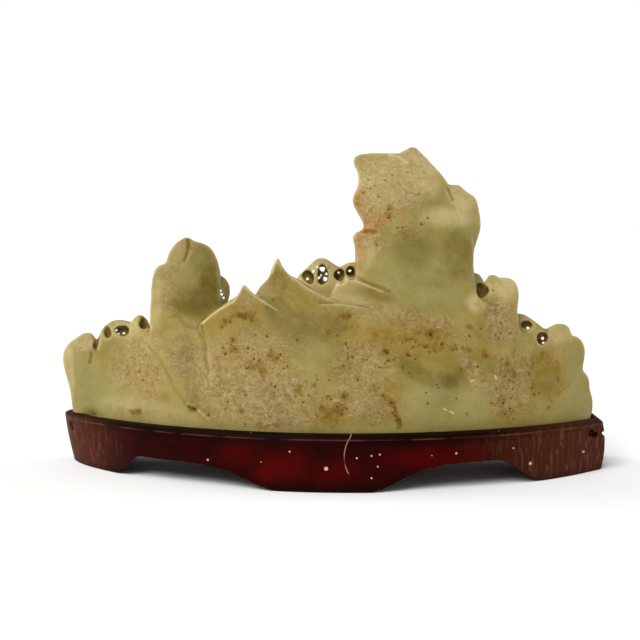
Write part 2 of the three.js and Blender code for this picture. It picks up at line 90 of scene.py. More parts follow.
LEFT_ARCH = Arch(outer=-112, shoulder=-95, crown=-73, inner=-24, height=11)
RIGHT_ARCH = Arch(outer=110, shoulder=80, crown=66, inner=15, height=12.8)
SCROLL_EYE_HEIGHT = 20.8
SCROLL_EYE_DEPTH = 3.5
SCROLL_EYES = [(-137, 0, 2.3), (132.6, 0, 2.2), (135.2, 1.3, 1.8)]
SCROLL_NOTCH = {"x": 140.4, "z": 19.4, "depth": 2.4, "height": 2.6, "length": 13}

# Stone: its foot sits in a recess in the stand's top
SEAT_GAP = 0.35
RECESS_FLOOR = 20
FOOT_LEFT = -135.4
FOOT_RIGHT = 136
FOOT_LIP = 7
CREST = [
    [-141, 34], [-132, 56], [-122, 61], [-109, 69], [-93, 73], [-71, 75], [-45, 82], [-25, 85],
    [1, 88], [29, 84], [61, 80], [81, 78], [96, 75], [109, 66], [121, 60], [130, 48], [137, 30],
]
CREST_SETBACK = 20
CREST_PEAKEDNESS = 1.1
BACK_HOLLOW = 1.3
FRONT_HOLLOW = 2.6
MASSIF_ROWS = 90
MASSIF_SIDES = 56
MASSIF_ARCH_SHARE = 0.88
MASSIF_END_ROUNDING = (5, 9)
MASSIF_END_CROWDING = 1.2
MASSIF_REACH = 0.9995
CRAG_RINGS_PER_SPAN = 6
CRAG_SIDES = 40
FRONT_CRAG_STEPS = 16
FRONT_CRAG_SIDES = 28
FRONT_CRAG_FOOT = 22
FRONT_CRAG_TIP = (1.2, 6)
TRUNK_RADIUS = 2.4


class Crag(NamedTuple):
    """Upright crag: outline and depth tables, and how square its section is."""

    edge: list
    depth: list
    square: float = 2.3


class FrontCrag(NamedTuple):
    """Plainer crag of the front."""

    x: float
    half: float
    top: float
    depth: list
    pointed: bool


class Canopy(NamedTuple):
    """Lumpy canopy of a pine: middle and half sizes."""

    at: tuple
    size: tuple


class Pine(NamedTuple):
    """Pine in relief: foot of its trunk and its canopies, the highest last."""

    foot: tuple
    canopies: list


class Bore(NamedTuple):
    """Oval hole drilled in from the back: middle (x, z), half sizes, tilt in degrees and where it ends."""

    at: tuple
    size: tuple
    tilt: float
    end: float


# Crags: edge is [height, left, right] as seen from the back, and depth is [height, back, front]
CRAGS = [
    Crag(  # boulder at the left end
        edge=[
            [24, -136, -111], [38, -137, -113], [55, -140.4, -119], [62.6, -138.4, -121.6], [69, -130, -125.6],
        ],
        depth=[[24, 13, 31], [50, 10, 31], [63, 14, 28], [69, 18, 23]],
    ),
    Crag(  # rounded rise left of the left peak
        edge=[[52, -125, -91], [66, -122, -94], [73, -118, -98], [75.8, -114, -108]],
        depth=[[52, 9, 26], [66, 11.5, 26], [75.8, 16, 22]],
    ),
    Crag(  # small head beside it
        edge=[[56, -105, -93], [72, -104.4, -94.2], [76.6, -102.8, -95.6], [79, -100, -98]],
        depth=[[56, 8, 24], [72, 11, 22], [79, 14, 18]],
    ),
    Crag(  # broad left peak, left half
        edge=[
            [40, -97, -56], [74, -93, -59], [94, -92, -61], [101, -90.6, -62], [104.8, -88.2, -63], [106, -84.6, -64],
            [112, -82.2, -67], [116.6, -79, -68.4], [119.4, -75, -72.4],
        ],
        depth=[[40, -3, 25], [74, -2, 22], [100, 1, 17], [112, 2, 15], [119.4, 5, 12]],
        square=2.7,
    ),
    Crag(  # broad left peak, right half
        edge=[
            [40, -90, -50], [88, -85, -55.6], [100, -83, -56.6], [106, -81, -57.6], [110, -79, -58.8],
            [113.4, -77, -60.8], [116, -75, -64], [117.2, -72, -67.6],
        ],
        depth=[[40, -5, 26], [80, -1.4, 22], [100, 2, 18], [117, 5, 11]],
        square=2.7,
    ),
    Crag(  # ridge in front of the left peak
        edge=[
            [50, -40, 3], [57, -55, -3], [64, -61.4, -7], [70, -64.4, -10], [76, -66, -13], [81, -61, -18],
            [85, -55.8, -25], [88.8, -50.8, -31.6],
            [91, -47.2, -35.8], [94.4, -45, -40], [97, -43.7, -42.2],
        ],
        depth=[[50, -20, 10], [64, -20, 4], [76, -18.4, -2], [88, -16.6, -8], [97, -15.4, -13]],
        square=1.8,
    ),
    Crag(  # pointed spire left of the middle
        edge=[
            [60, -47, 21], [76, -44, 15], [88, -40.6, 3.6], [92, -37.6, -4.4], [96, -35, -11.4], [99, -32, -16],
            [101.4, -30.6, -20.4], [105, -29.5, -23.6], [109.8, -27, -26],
        ],
        depth=[[60, -18, 12], [76, -15, 8], [92, -12.4, 2], [101, -11.4, -6], [109.8, -10.6, -9]],
    ),
    Crag(  # low ridge at the foot of the tall peak
        edge=[[60, -15, 59], [80, -7, 51], [90, -1, 38], [95, 1.6, 25.4], [98.4, 3.4, 16.4], [100.8, 7.2, 10]],
        depth=[[60, -18, 10], [80, -14, 8], [92, -10.4, 2], [100.8, -8.4, -6]],
    ),
    Crag(  # pierced rise between the spire and the tall peak
        edge=[
            [44, -25, 25], [92, -19, 21], [98.7, -17, 19], [102.3, -13.4, 8], [105.7, -9.8, 1.6],
            [108.2, -6.9, -2.6],
        ],
        depth=[[44, -6, 24], [92, 6, 24], [108.2, 12, 19]],
    ),
    Crag(  # second head of that rise
        edge=[[86, -3, 25], [102, 4.2, 22], [105, 6.2, 21], [106.6, 10, 18]],
        depth=[[86, 5, 25], [106.6, 12, 19]],
    ),
    Crag(  # tall peak
        edge=[
            [40, -10, 92], [84, 7, 79], [98, 11.6, 73.4], [114, 12.2, 72.6], [120.5, 11.6, 72.4], [123.6, 16.4, 72],
            [127, 16.4, 70.6], [132, 13.4, 68.6], [138.3, 11, 64.6], [147, 14, 59.4], [153, 13.4, 54.6],
            [157, 11.4, 50.6], [160.4, 12.4, 47.6], [161.8, 16, 45],
        ],
        depth=[
            [40, -20, 26], [72, -18.6, 25], [88, -12.6, 24], [104, -6.4, 21], [120, -3, 18], [155, 1, 15],
            [161.8, 4, 12],
        ],
        square=3.2,
    ),
    Crag(  # summit of the tall peak
        edge=[
            [136, 25, 61], [146, 28, 58.4], [153, 30, 52.8], [158, 32, 49.2], [161.5, 34, 46.4], [165, 39.4, 43],
        ],
        depth=[[136, 4, 13], [146, 1, 12], [156, 1.4, 9], [165, 4, 6]],
    ),
    Crag(  # crag behind the right edge of the tall peak
        edge=[
            [84, 53, 73], [104, 55, 72.6], [114, 56, 73.8], [124, 57, 76.4], [134, 58, 75.4], [139.6, 59, 73.6],
            [142.6, 59.4, 69.4], [146.2, 60.6, 65.4],
        ],
        depth=[[84, 2, 26], [120, 4, 18], [146.2, 7, 12]],
    ),
    Crag(  # knob below that crag
        edge=[[70, 61, 85], [90, 65, 81], [97, 68, 78.6], [101, 70.6, 76]],
        depth=[[70, -4, 22], [90, 2, 18], [101, 8, 14]],
    ),
    Crag(  # double-headed lobe to the right of the tall peak
        edge=[[40, 57, 111], [70, 69, 97], [82, 73, 94.8], [92, 76, 95.2], [97, 78, 93.4], [99.4, 83, 90.4]],
        depth=[[40, -8, 25], [70, -8, 18], [90, -3, 9], [99.4, 0, 4]],
        square=2.8,
    ),
    Crag(  # left head of that lobe
        edge=[[88, 76.6, 87], [96, 77.4, 86.4], [101, 79.8, 83.4]],
        depth=[[88, -3, 6], [101, -1, 3]],
    ),
    Crag(  # pierced slope running down to the right end
        edge=[[44, 91, 127], [66, 93, 114], [71, 93, 111.6], [75.6, 93, 106], [80, 94, 99.4]],
        depth=[[44, -2, 26], [66, -1, 21], [80, 4, 14]],
    ),
    Crag(  # first lobe of the right end
        edge=[[40, 99, 129], [60, 107, 126.4], [69, 109.6, 124], [73, 111.6, 122.4], [75, 115.4, 120]],
        depth=[[40, 4, 26], [60, 2, 20], [75, 5, 10]],
    ),
    Crag(  # second lobe of the right end
        edge=[[36, 107, 132], [50, 111, 131], [60, 113, 131.6], [65.6, 117, 129.8], [68.6, 121, 126.6]],
        depth=[[36, 6, 30], [60, 4, 20], [68.6, 6, 11]],
    ),
    Crag(  # foot of the right end
        edge=[[24, 107, 137.4], [34, 107, 137.4], [40, 111, 135.4], [47, 115, 134], [50.4, 121, 131]],
        depth=[[24, 8, 30], [40, 5, 26], [50.4, 8, 16]],
    ),
]

# Plainer crags of the front, in two tiers: middle, half width, height, and the depth that they span.
# A round top has a high shoulder, and a pointed one draws in from its foot
FRONT_CRAGS = [
    FrontCrag(x=-116, half=14, top=50, depth=[16, 32], pointed=False),
    FrontCrag(x=-84, half=19, top=58, depth=[14, 34], pointed=False),
    FrontCrag(x=-46, half=19, top=50, depth=[14, 34.5], pointed=True),
    FrontCrag(x=-12, half=17, top=60, depth=[14, 34.5], pointed=False),
    FrontCrag(x=26, half=22, top=56, depth=[14, 34.5], pointed=True),
    FrontCrag(x=66, half=20, top=52, depth=[14, 34], pointed=False),
    FrontCrag(x=104, half=18, top=56, depth=[12, 33], pointed=True),
    FrontCrag(x=-68, half=17, top=92, depth=[8, 27], pointed=True),
    FrontCrag(x=-30, half=15, top=86, depth=[2, 27], pointed=False),
    FrontCrag(x=36, half=19, top=124, depth=[6, 28], pointed=True),
    FrontCrag(x=62, half=17, top=98, depth=[6, 27], pointed=False),
    FrontCrag(x=86, half=12, top=74, depth=[4, 26], pointed=True),
]
# Pine trees on the front: foot of the trunk and its canopies, each with its middle and half sizes
PINES = [
    Pine(foot=(-100, 28, 34), canopies=[Canopy((-104, 26, 63), (11, 6.6, 5))]),
    Pine(foot=(-52, 28, 34), canopies=[Canopy((-57, 26.5, 68), (11, 6, 4.6)), Canopy((-50, 25, 79), (9, 6, 4.4))]),
    Pine(
        foot=(10, 28, 34),
        canopies=[Canopy((4, 27.5, 74), (11, 7, 5)), Canopy((14, 25, 86), (11, 7, 5)), Canopy((8, 22, 93), (8, 6, 4.2))],
    ),
    Pine(foot=(84, 28, 32), canopies=[Canopy((88, 27, 62), (12, 6.4, 5))]),
]
SIDE_TREE = Canopy((-58, 15, 90), (5.6, 5, 10))

# Bores drilled in from the back along the top line, and the small holes that show daylight through their
# thin screens, for which the last value is the depth where the cutter starts
BORES = [
    Bore(at=(-122.1, 64.4), size=(1.5, 4.4), tilt=14, end=18.5),
    Bore(at=(-116.0, 70.1), size=(1.9, 3.3), tilt=-22, end=18.5),
    Bore(at=(-108.0, 70.9), size=(3.8, 2.5), tilt=8, end=18.5),
    Bore(at=(-97.0, 74.9), size=(2.0, 3.3), tilt=0, end=17),
    Bore(at=(-94.4, 73.3), size=(2.4, 0.7), tilt=0, end=17.5),
    Bore(at=(-11.4, 99.0), size=(2.7, 3.7), tilt=-40, end=15.5),
    Bore(at=(-4.1, 100.3), size=(2.7, 5.1), tilt=0, end=15.5),
    Bore(at=(4.5, 100.0), size=(2.8, 2.9), tilt=12, end=15.5),
    Bore(at=(10.2, 101.6), size=(2.2, 2.7), tilt=0, end=17),
    Bore(at=(-0.7, 104.2), size=(0.8, 0.7), tilt=0, end=15),
    Bore(at=(76.3, 92.6), size=(3.4, 3.5), tilt=0, end=8),
    Bore(at=(99.8, 75.0), size=(3.1, 2.1), tilt=8, end=7),
    Bore(at=(107.6, 68.4), size=(3.2, 3.1), tilt=0, end=7),
]
DAYLIGHT_HOLES = [
    Bore(at=(-110.2, 68.9), size=(0.62, 0.9), tilt=0, end=14),
    Bore(at=(-111.2, 71.2), size=(0.6, 0.45), tilt=0, end=14),
    Bore(at=(-107.4, 69.6), size=(0.6, 0.5), tilt=0, end=14),
    Bore(at=(-4.3, 103.1), size=(1.5, 1.25), tilt=20, end=12),
    Bore(at=(-2.2, 100.6), size=(0.6, 0.65), tilt=0, end=12),
    Bore(at=(-6.0, 98.6), size=(0.5, 0.95), tilt=40, end=12),
    Bore(at=(-5.0, 99.9), size=(0.42, 0.5), tilt=0, end=12),
    Bore(at=(-2.8, 98.0), size=(1.1, 1.15), tilt=0, end=12),
    Bore(at=(-12.0, 98.0), size=(0.75, 0.7), tilt=0, end=12),
    Bore(at=(-9.0, 102.2), size=(0.55, 1.0), tilt=35, end=8),
    Bore(at=(-7.0, 104.5), size=(0.55, 0.6), tilt=0, end=8),
    Bore(at=(4.1, 101.3), size=(0.5, 0.5), tilt=0, end=12),
    Bore(at=(9.8, 102.2), size=(0.85, 0.6), tilt=-20, end=12),
    Bore(at=(73.7, 95.9), size=(0.5, 0.5), tilt=0, end=6),
    Bore(at=(73.8, 93.6), size=(0.55, 0.55), tilt=0, end=6),
    Bore(at=(100.4, 73.5), size=(0.82, 0.75), tilt=0, end=3),
    Bore(at=(103.2, 73.5), size=(0.87, 0.75), tilt=0, end=3),
    Bore(at=(108.0, 68.3), size=(0.75, 0.75), tilt=0, end=3),
    Bore(at=(108.5, 65.8), size=(0.65, 0.7), tilt=0, end=3),
    Bore(at=(-55.7, 90.6), size=(0.75, 0.65), tilt=0, end=6),
    Bore(at=(-54.7, 88.8), size=(0.6, 0.6), tilt=0, end=6),
    Bore(at=(-56.1, 92.4), size=(0.5, 0.5), tilt=0, end=6),
]
# Where the drill stood for the small holes that show daylight, so that they are seen from end to end
DRILL_POINT = Vector((-5.5, -582, 139))
SCREEN_FRONT = 45


class Form(NamedTuple):
    """Soft oval swelling of the back face: middle (x, z), half sizes, tilt in degrees and rise, all in mm."""

    at: tuple
    size: tuple
    tilt: float
    rise: float


class Line(NamedTuple):
    """Carved or cracked line on the back face: its points (x, z), its half width and its rise."""

    points: list
    width: float
    rise: float


FORMS = [
    Form(at=(-102, 46), size=(15, 28), tilt=-8, rise=1.2),
    Form(at=(-125, 58), size=(4, 12), tilt=0, rise=-0.8),
    Form(at=(-69, 50), size=(6, 24), tilt=-12, rise=-1.4),
    Form(at=(-25, 56), size=(15, 26), tilt=20, rise=1.4),
    Form(at=(11, 58), size=(9, 24), tilt=-30, rise=-1.4),
    Form(at=(46, 47), size=(13, 14), tilt=34, rise=1.6),
    Form(at=(62, 49), size=(6, 12), tilt=36, rise=-2.0),
    Form(at=(70, 66), size=(12, 6), tilt=20, rise=1.5),
    Form(at=(84, 60), size=(9, 10), tilt=30, rise=1.0),
    Form(at=(-64, 96), size=(6, 12), tilt=0, rise=-1.0),
    Form(at=(-84, 97), size=(5, 16), tilt=0, rise=0.8),
    Form(at=(-72, 84), size=(12, 4.5), tilt=0, rise=-1.0),
    Form(at=(-76, 71), size=(11, 7), tilt=0, rise=1.0),
    Form(at=(49, 86), size=(26, 7), tilt=-4, rise=-1.4),
    Form(at=(52, 115), size=(20, 7), tilt=-4, rise=-1.3),
    Form(at=(52, 129), size=(16, 5), tilt=-6, rise=1.2),
    Form(at=(24, 148), size=(12, 9), tilt=0, rise=0.7),
    Form(at=(24, 110), size=(9, 12), tilt=0, rise=0.6),
    Form(at=(-33, 75), size=(10, 6), tilt=-30, rise=-0.9),
    Form(at=(-20, 62), size=(9, 7), tilt=-20, rise=-0.9),
    Form(at=(-47, 60), size=(9, 12), tilt=10, rise=0.9),
    Form(at=(-30, 42), size=(8, 10), tilt=20, rise=-0.8),
    Form(at=(30, 84), size=(14, 4), tilt=-16, rise=0.9),
    Form(at=(100, 45), size=(8, 12), tilt=20, rise=-1.0),
    Form(at=(117, 50), size=(5, 14), tilt=0, rise=0.9),
    Form(at=(104, 58), size=(5, 9), tilt=30, rise=-0.9),
    Form(at=(82, 86), size=(5, 5), tilt=0, rise=-0.7),
    Form(at=(-68, 35.4), size=(2.6, 1.5), tilt=-30, rise=-1.2),
]
LINES = [
    Line([(-82, 79.4), (-79.3, 80), (-76.7, 79.6), (-74.7, 77), (-71.6, 74.8), (-68.4, 73.8), (-65, 76)], 0.9, -0.3),
    Line([(-94, 65.7), (-91, 63), (-87, 59.4), (-83, 53.5), (-78, 44.2), (-72, 37.6), (-70, 35.4)], 0.8, -0.22),
    Line([(-64.8, 74.6), (-63.2, 68.4), (-62.1, 60.1), (-60.7, 55.2)], 2.0, -0.8),
    Line([(-60.7, 62), (-59.6, 55), (-58.4, 48)], 1.6, 0.4),
    Line([(-72.1, 118), (-72.3, 115.3), (-72.7, 112.3), (-74.2, 108.3)], 0.9, -0.8),
    Line([(-71.1, 37.9), (-67.9, 36.7), (-64.8, 34.3), (-61.2, 31.4), (-58, 28)], 0.8, 0.6),
    Line([(59.4, 143.6), (60.8, 140.6), (61.8, 138.6)], 0.8, -0.9),
    Line([(-124.6, 61), (-124.6, 58.3), (-125.4, 54.4)], 0.9, -0.5),
    Line([(13, 122.6), (18.6, 122.9), (22.1, 122.5)], 1.1, -0.9),
    Line([(10.9, 100.6), (14.4, 99.6), (19.4, 97.4), (25.3, 95.2), (29.2, 93.4)], 0.9, -0.5),
]
# Crests that catch the light as thin pale edges
CRESTS = [
    [(-63.6, 78), (-61.6, 79.8), (-56.1, 84), (-50.2, 87.6), (-48.3, 88.4), (-46, 92), (-43.4, 96.6),
     (-40.6, 94.2), (-37.9, 91.8), (-33, 88.4), (-26.7, 84.4)],
    [(-29.6, 102), (-27, 109), (-24, 105), (-19.4, 100.2), (-16.9, 98.8), (-13.9, 96.3), (-10.5, 94), (-6.5, 91.8),
     (-2, 89.4), (2.5, 87.8)],
    [(2.7, 96.2), (6.3, 98.5), (9.5, 100), (13.4, 98), (19.4, 95.5), (25.3, 93.1)],
    [(29.6, 160.9), (33.2, 160.2), (36.1, 158.7), (38.3, 156.9)],
]
CREST_WIDTH = 0.4
MELT_ROUNDS = 120
MELT_DRIFT = 0.85
MELT_BRIDGE_ROUNDS = 14
HAND_CUT_SIZE = 16
HAND_CUT_RISE = 0.35
FRONT_FLUTE_RISE = 0.5
STONE_VOXEL = 0.76
STONE_TRIANGLES = 196000


def signed_power(value, exponent):
    """Power of the size of a number that keeps its sign."""
    return math.copysign(abs(value) ** exponent, value)


def along(table, position):
    """Smooth run through a short table whose first column is the position: gives the other columns."""
    i = 0
    while i < len(table) - 2 and position > table[i + 1][0]:
        i += 1
    before, start, end, after = (
        np.array(table[min(max(k, 0), len(table) - 1)], dtype=float) for k in (i - 1, i, i + 1, i + 2)
    )
    span = end[0] - start[0]
    s = min(max((position - start[0]) / span, 0.0), 1.0)
    slope_start = (end - before) / (end[0] - before[0]) * span
    slope_end = (after - start) / (after[0] - start[0]) * span
    middle = start + (end - start) * s * s * (3 - 2 * s)
    return (middle + slope_start * s * (1 - s) ** 2 - slope_end * s * s * (1 - s))[1:]


def smoothstep(low, high, value):
    """Smooth ramp from 0 at low to 1 at high, for a number or an array."""
    t = np.clip((value - low) / (high - low), 0, 1)
    return t * t * (3 - 2 * t)


def add_loft(bm, rows, sides, place):
    """Adds a closed solid of stacked rings: place(t, turn) gives a point for two parts between 0 and 1."""
    tube = bmesh.new()
    bmesh.ops.create_cone(tube, cap_ends=True, segments=sides, radius1=1, radius2=1, depth=1)
    upright = [edge for edge in tube.edges if abs(edge.verts[0].co.z - edge.verts[1].co.z) > 0.5]
    if rows > 1:
        bmesh.ops.subdivide_edges(tube, edges=upright, cuts=rows - 1, use_grid_fill=True)
    for vert in tube.verts:
        turn = round(math.atan2(vert.co.x, vert.co.y) / math.tau, 6) % 1.0
        vert.co = place(round(vert.co.z + 0.5, 6), turn)
    bmesh.ops.recalc_face_normals(tube, faces=tube.faces[:])
    mesh = bpy.data.meshes.new("loft")
    tube.to_mesh(mesh)
    tube.free()
    bm.from_mesh(mesh)
    bpy.data.meshes.remove(mesh)


def back_edge(x, lift, inset):
    """Bowed back edge of the plan at one height: lift is 0 at the rim and 1 at the feet."""
    apex = FOOT_FLARE * (1 - lift) - STAND_DEPTH / 2
    radius = BACK_ARC_RIM_RADIUS + (BACK_ARC_FOOT_RADIUS - BACK_ARC_RIM_RADIUS) * lift
    return apex + radius - math.sqrt((radius - inset) ** 2 - (x - BACK_ARC_X) ** 2)


def front_edge(x, lift, inset):
    """Nearly straight front edge of the plan at one height."""
    apex = STAND_DEPTH / 2 - FOOT_FLARE * (1 - lift)
    return apex - FRONT_ARC_RADIUS + math.sqrt((FRONT_ARC_RADIUS - inset) ** 2 - x**2)


def curve_through(start, pull, end, steps):
    """Points of a curve from start towards end that leans on one pull point, without its last point."""
    points = []
    for i in range(steps):
        t = i / steps
        points.append(start * (1 - t) ** 2 + pull * 2 * t * (1 - t) + end * t * t)
    return points


def plan_outline(left, right, lift, inset):
    """Outline in plan between a left and a right end, with its corners rounded."""
    inner = left + LEFT_CORNER_ROUNDING
    outer = right - FRONT_CORNER_ROUNDING

    def back(x):
        return Vector((x, back_edge(x, lift, inset)))

    def front(x):
        return Vector((x, front_edge(x, lift, inset)))

    waist = Vector((left, (back(left).y + front(left).y) / 2))
    points = curve_through(waist, back(left), back(inner), 10)
    points += [back(x) for x in np.linspace(inner, right, 90)]
    corner = front(right) - Vector((0, FRONT_CORNER_ROUNDING))
    points += curve_through(corner, front(right), front(outer), 8)
    points += [front(x) for x in np.linspace(outer, inner, 60)]
    points += curve_through(front(inner), front(left), waist, 10)[1:]
    return points


def add_plan_block(bm, levels):
    """Adds an upright block on a plan outline: each level is its height, left and right ends, lift and inset."""
    outlines = [plan_outline(*level[1:]) for level in levels]
    sides = len(outlines[0])

    def place(t, turn):
        level = round(t * (len(levels) - 1))
        point = outlines[level][round(turn * sides) % sides]
        return Vector((point.x, point.y, levels[level][0]))

    add_loft(bm, len(levels) - 1, sides, place)


def stone_level(z, gap):
    """Outline of the stone's foot at one height, grown by a gap."""
    return z, FOOT_LEFT - gap, FOOT_RIGHT + gap, 0, FOOT_LIP - gap


def stand_level(z, inset):
    """Outline of the stand at one height: the left end leans, the right end swells."""
    lift = 1 - z / STAND_HEIGHT
    swell = (z - RIGHT_END_SWELL_HEIGHT) / RIGHT_END_SWELL_SPAN
    left = -STAND_LENGTH / 2 + LEFT_END_LEAN * lift**END_LEAN_CURVE + inset
    right = STAND_LENGTH / 2 - RIGHT_END_SWELL_DROP * swell**2 - inset
    return z, left, right, lift, inset


def add_massif(bm):
    """Adds the long body of the range: each section is an arch over the crest and a flat floor."""
    floor = RECESS_FLOOR + SEAT_GAP
    middle = (FOOT_LEFT + FOOT_RIGHT) / 2
    half = (FOOT_RIGHT - FOOT_LEFT) / 2

    @lru_cache(maxsize=None)
    def section(t):
        w = 2 * t - 1
        u = MASSIF_REACH * math.copysign(1 - (1 - abs(w)) ** MASSIF_END_CROWDING, w)
        x = middle + half * u
        rounding = MASSIF_END_ROUNDING[0] if u < 0 else MASSIF_END_ROUNDING[1]
        spread = (1 - abs(u) ** rounding) ** (1 / rounding)
        back_foot = back_edge(x, 0, FOOT_LIP)
        front_foot = front_edge(x, 0, FOOT_LIP)
        centre = (back_foot + front_foot) / 2
        back = centre + (back_foot - centre) * spread
        front = centre + (front_foot - centre) * spread
        return x, back, front, min(back + CREST_SETBACK, centre + 2), along(CREST, x)[0] - floor

    def place(t, turn):
        x, back, front, crest, rise = section(t)
        if turn >= MASSIF_ARCH_SHARE:
            return Vector((x, front + (back - front) * (turn - MASSIF_ARCH_SHARE) / (1 - MASSIF_ARCH_SHARE), floor))
        arch = math.pi * turn / MASSIF_ARCH_SHARE
        side, hollow = (back, BACK_HOLLOW) if arch < math.pi / 2 else (front, FRONT_HOLLOW)
        y = crest + (side - crest) * abs(math.cos(arch)) ** hollow
        return Vector((x, y, floor + rise * math.sin(arch) ** CREST_PEAKEDNESS))

    add_loft(bm, MASSIF_ROWS, MASSIF_SIDES, place)


def add_crag(bm, crag):
    """Adds an upright crag that follows its outline and depth tables."""
    spans = len(crag.edge) - 1

    @lru_cache(maxsize=None)
    def ring(t):
        span = min(int(t * spans + 1e-6), spans - 1)
        low, high = crag.edge[span][0], crag.edge[span + 1][0]
        z = low + (high - low) * (t * spans - span)
        return z, along(crag.edge, z), along(crag.depth, z)

    def place(t, turn):
        z, (left, right), (back, front) = ring(t)
        angle = math.tau * turn
        x = (left + right) / 2 + (right - left) / 2 * signed_power(math.cos(angle), 2 / crag.square)
        y = (back + front) / 2 + (front - back) / 2 * signed_power(math.sin(angle), 2 / crag.square)
        return Vector((x, y, z))

    add_loft(bm, spans * CRAG_RINGS_PER_SPAN, CRAG_SIDES, place)


def add_front_crag(bm, crag):
    """Adds one of the plainer crags of the front."""
    back, front = crag.depth
    tip_width, tip_depth = FRONT_CRAG_TIP

    def place(t, turn):
        climb = 1 - (1 - t) ** 1.3
        width = (1 - climb) ** 1.25 if crag.pointed else math.sqrt(1 - climb**2.6)
        half = tip_width + (crag.half - tip_width) * width
        face = front + (back + tip_depth - front) * climb**2.6
        angle = math.tau * turn
        x = crag.x + half * signed_power(math.cos(angle), 0.8)
        y = (back + face) / 2 + (face - back) / 2 * signed_power(math.sin(angle), 0.8)
        return Vector((x, y, FRONT_CRAG_FOOT + (crag.top - FRONT_CRAG_FOOT) * climb))

    add_loft(bm, FRONT_CRAG_STEPS, FRONT_CRAG_SIDES, place)


def add_canopy(bm, canopy):
    """Adds a lumpy pine canopy."""
    ball = bmesh.ops.create_icosphere(bm, subdivisions=4, radius=1)
    for vert in ball["verts"]:
        x, y, z = vert.co
        swell = 1 + 0.12 * math.sin(5 * math.atan2(y, x) + canopy.at[0]) * math.cos(3 * z + canopy.at[2])
        vert.co = [middle + part * size * swell for middle, part, size in zip(canopy.at, vert.co, canopy.size)]


def add_pine(bm, pine):
    """Adds a pine: a straight trunk and its canopies."""
    foot = Vector(pine.foot)
    crown = Vector(pine.canopies[-1].at)
    turn = (crown - foot).to_track_quat("Z", "Y").to_matrix().to_4x4()
    bmesh.ops.create_cone(
        bm, cap_ends=True, segments=16, radius1=TRUNK_RADIUS, radius2=TRUNK_RADIUS * 0.7,
        depth=(crown - foot).length, matrix=Matrix.Translation((foot + crown) / 2) @ turn,
    )
    for canopy in pine.canopies:
        add_canopy(bm, canopy)


def add_bore(bm, bore, start=-45, sides=26):
    """Adds the cutter of an oval bore that runs in from the back."""
    matrix = Matrix.Translation((bore.at[0], (start + bore.end) / 2, bore.at[1]))
    matrix @= Matrix.Rotation(math.radians(bore.tilt), 4, "Y") @ Matrix.Rotation(math.radians(90), 4, "X")
    matrix @= Matrix.Diagonal((bore.size[0], bore.size[1], 1, 1))
    made = bmesh.ops.create_cone(
        bm, cap_ends=True, segments=sides, radius1=1, radius2=1, depth=bore.end - start,
    )
    for vert in made["verts"]:
        angle = math.atan2(vert.co.y, vert.co.x)
        vert.co.xy *= 1 + 0.07 * math.sin(3 * angle + bore.at[0])
    bmesh.ops.transform(bm, matrix=matrix, verts=made["verts"])


def add_daylight_hole(bm, hole):
    """Adds the cutter of a small hole that is seen through from the drill point: hole.end is its start depth."""
    centre = Vector((hole.at[0], hole.end, hole.at[1]))
    aim = (centre - DRILL_POINT).normalized()
    reach = (SCREEN_FRONT - hole.end) / aim.y
    matrix = Matrix.Translation(centre + aim * reach / 2) @ aim.to_track_quat("Z", "Y").to_matrix().to_4x4()
    matrix @= Matrix.Rotation(math.radians(hole.tilt), 4, "Z") @ Matrix.Diagonal((*hole.size, 1, 1))
    made = bmesh.ops.create_cone(bm, cap_ends=True, segments=10, radius1=1, radius2=1, depth=reach)
    for vert in made["verts"]:
        angle = math.atan2(vert.co.y, vert.co.x)
        vert.co.xy *= 1 + 0.16 * math.sin(3 * angle + 7 * hole.at[0])
    bmesh.ops.transform(bm, matrix=matrix, verts=made["verts"])


def new_piece(name, bm):
    """Turns a bmesh into an object of the scene."""
    mesh = bpy.data.meshes.new(name)
    bm.to_mesh(mesh)
    bm.free()
    piece = bpy.data.objects.new(name, mesh)
    bpy.context.collection.objects.link(piece)
    return piece


def apply_modifiers(piece):
    """Replaces a piece's mesh by the result of its modifiers."""
    graph = bpy.context.evaluated_depsgraph_get()
    mesh = bpy.data.meshes.new_from_object(piece.evaluated_get(graph))
    old = piece.data
    piece.modifiers.clear()
    piece.data = mesh
    bpy.data.meshes.remove(old)


def cut_away(piece, cutter):
    """Subtracts a closed cutter from a piece and removes the cutter."""
    cut = piece.modifiers.new("Cut", "BOOLEAN")
    cut.operation = "DIFFERENCE"
    cut.solver = "MANIFOLD"
    cut.object = cutter
    apply_modifiers(piece)
    if not piece.data.polygons:
        raise RuntimeError(f"the cut of {cutter.name} left nothing of {piece.name}")
    mesh = cutter.data
    bpy.data.objects.remove(cutter)
    bpy.data.meshes.remove(mesh)


def remesh(piece, voxel):
    """Fuses overlapping closed parts into one even skin."""
    skin = piece.modifiers.new("Skin", "REMESH")
    skin.mode = "VOXEL"
    skin.voxel_size = voxel
    apply_modifiers(piece)


def smooth(piece, rounds, factor=0.5):
    """Evens out a skin."""
    ease = piece.modifiers.new("Ease", "SMOOTH")
    ease.iterations = rounds
    ease.factor = factor
    apply_modifiers(piece)


def mesh_array(mesh, what, name, width):
    """One array of a mesh's own values."""
    values = np.empty(len(getattr(mesh, what)) * width, dtype=np.float32)
    getattr(mesh, what).foreach_get(name, values)
    return values.reshape(-1, width).astype(float)


def distance_to_line(x, z, points):
    """Distance from each place (x, z) to a line through a few points."""
    nearest = np.full(len(x), np.inf)
    for (x0, z0), (x1, z1) in zip(points, points[1:]):
        length = (x1 - x0) ** 2 + (z1 - z0) ** 2
        part = np.clip(((x - x0) * (x1 - x0) + (z - z0) * (z1 - z0)) / length, 0, 1)
        nearest = np.minimum(nearest, np.hypot(x - x0 - part * (x1 - x0), z - z0 - part * (z1 - z0)))
    return nearest


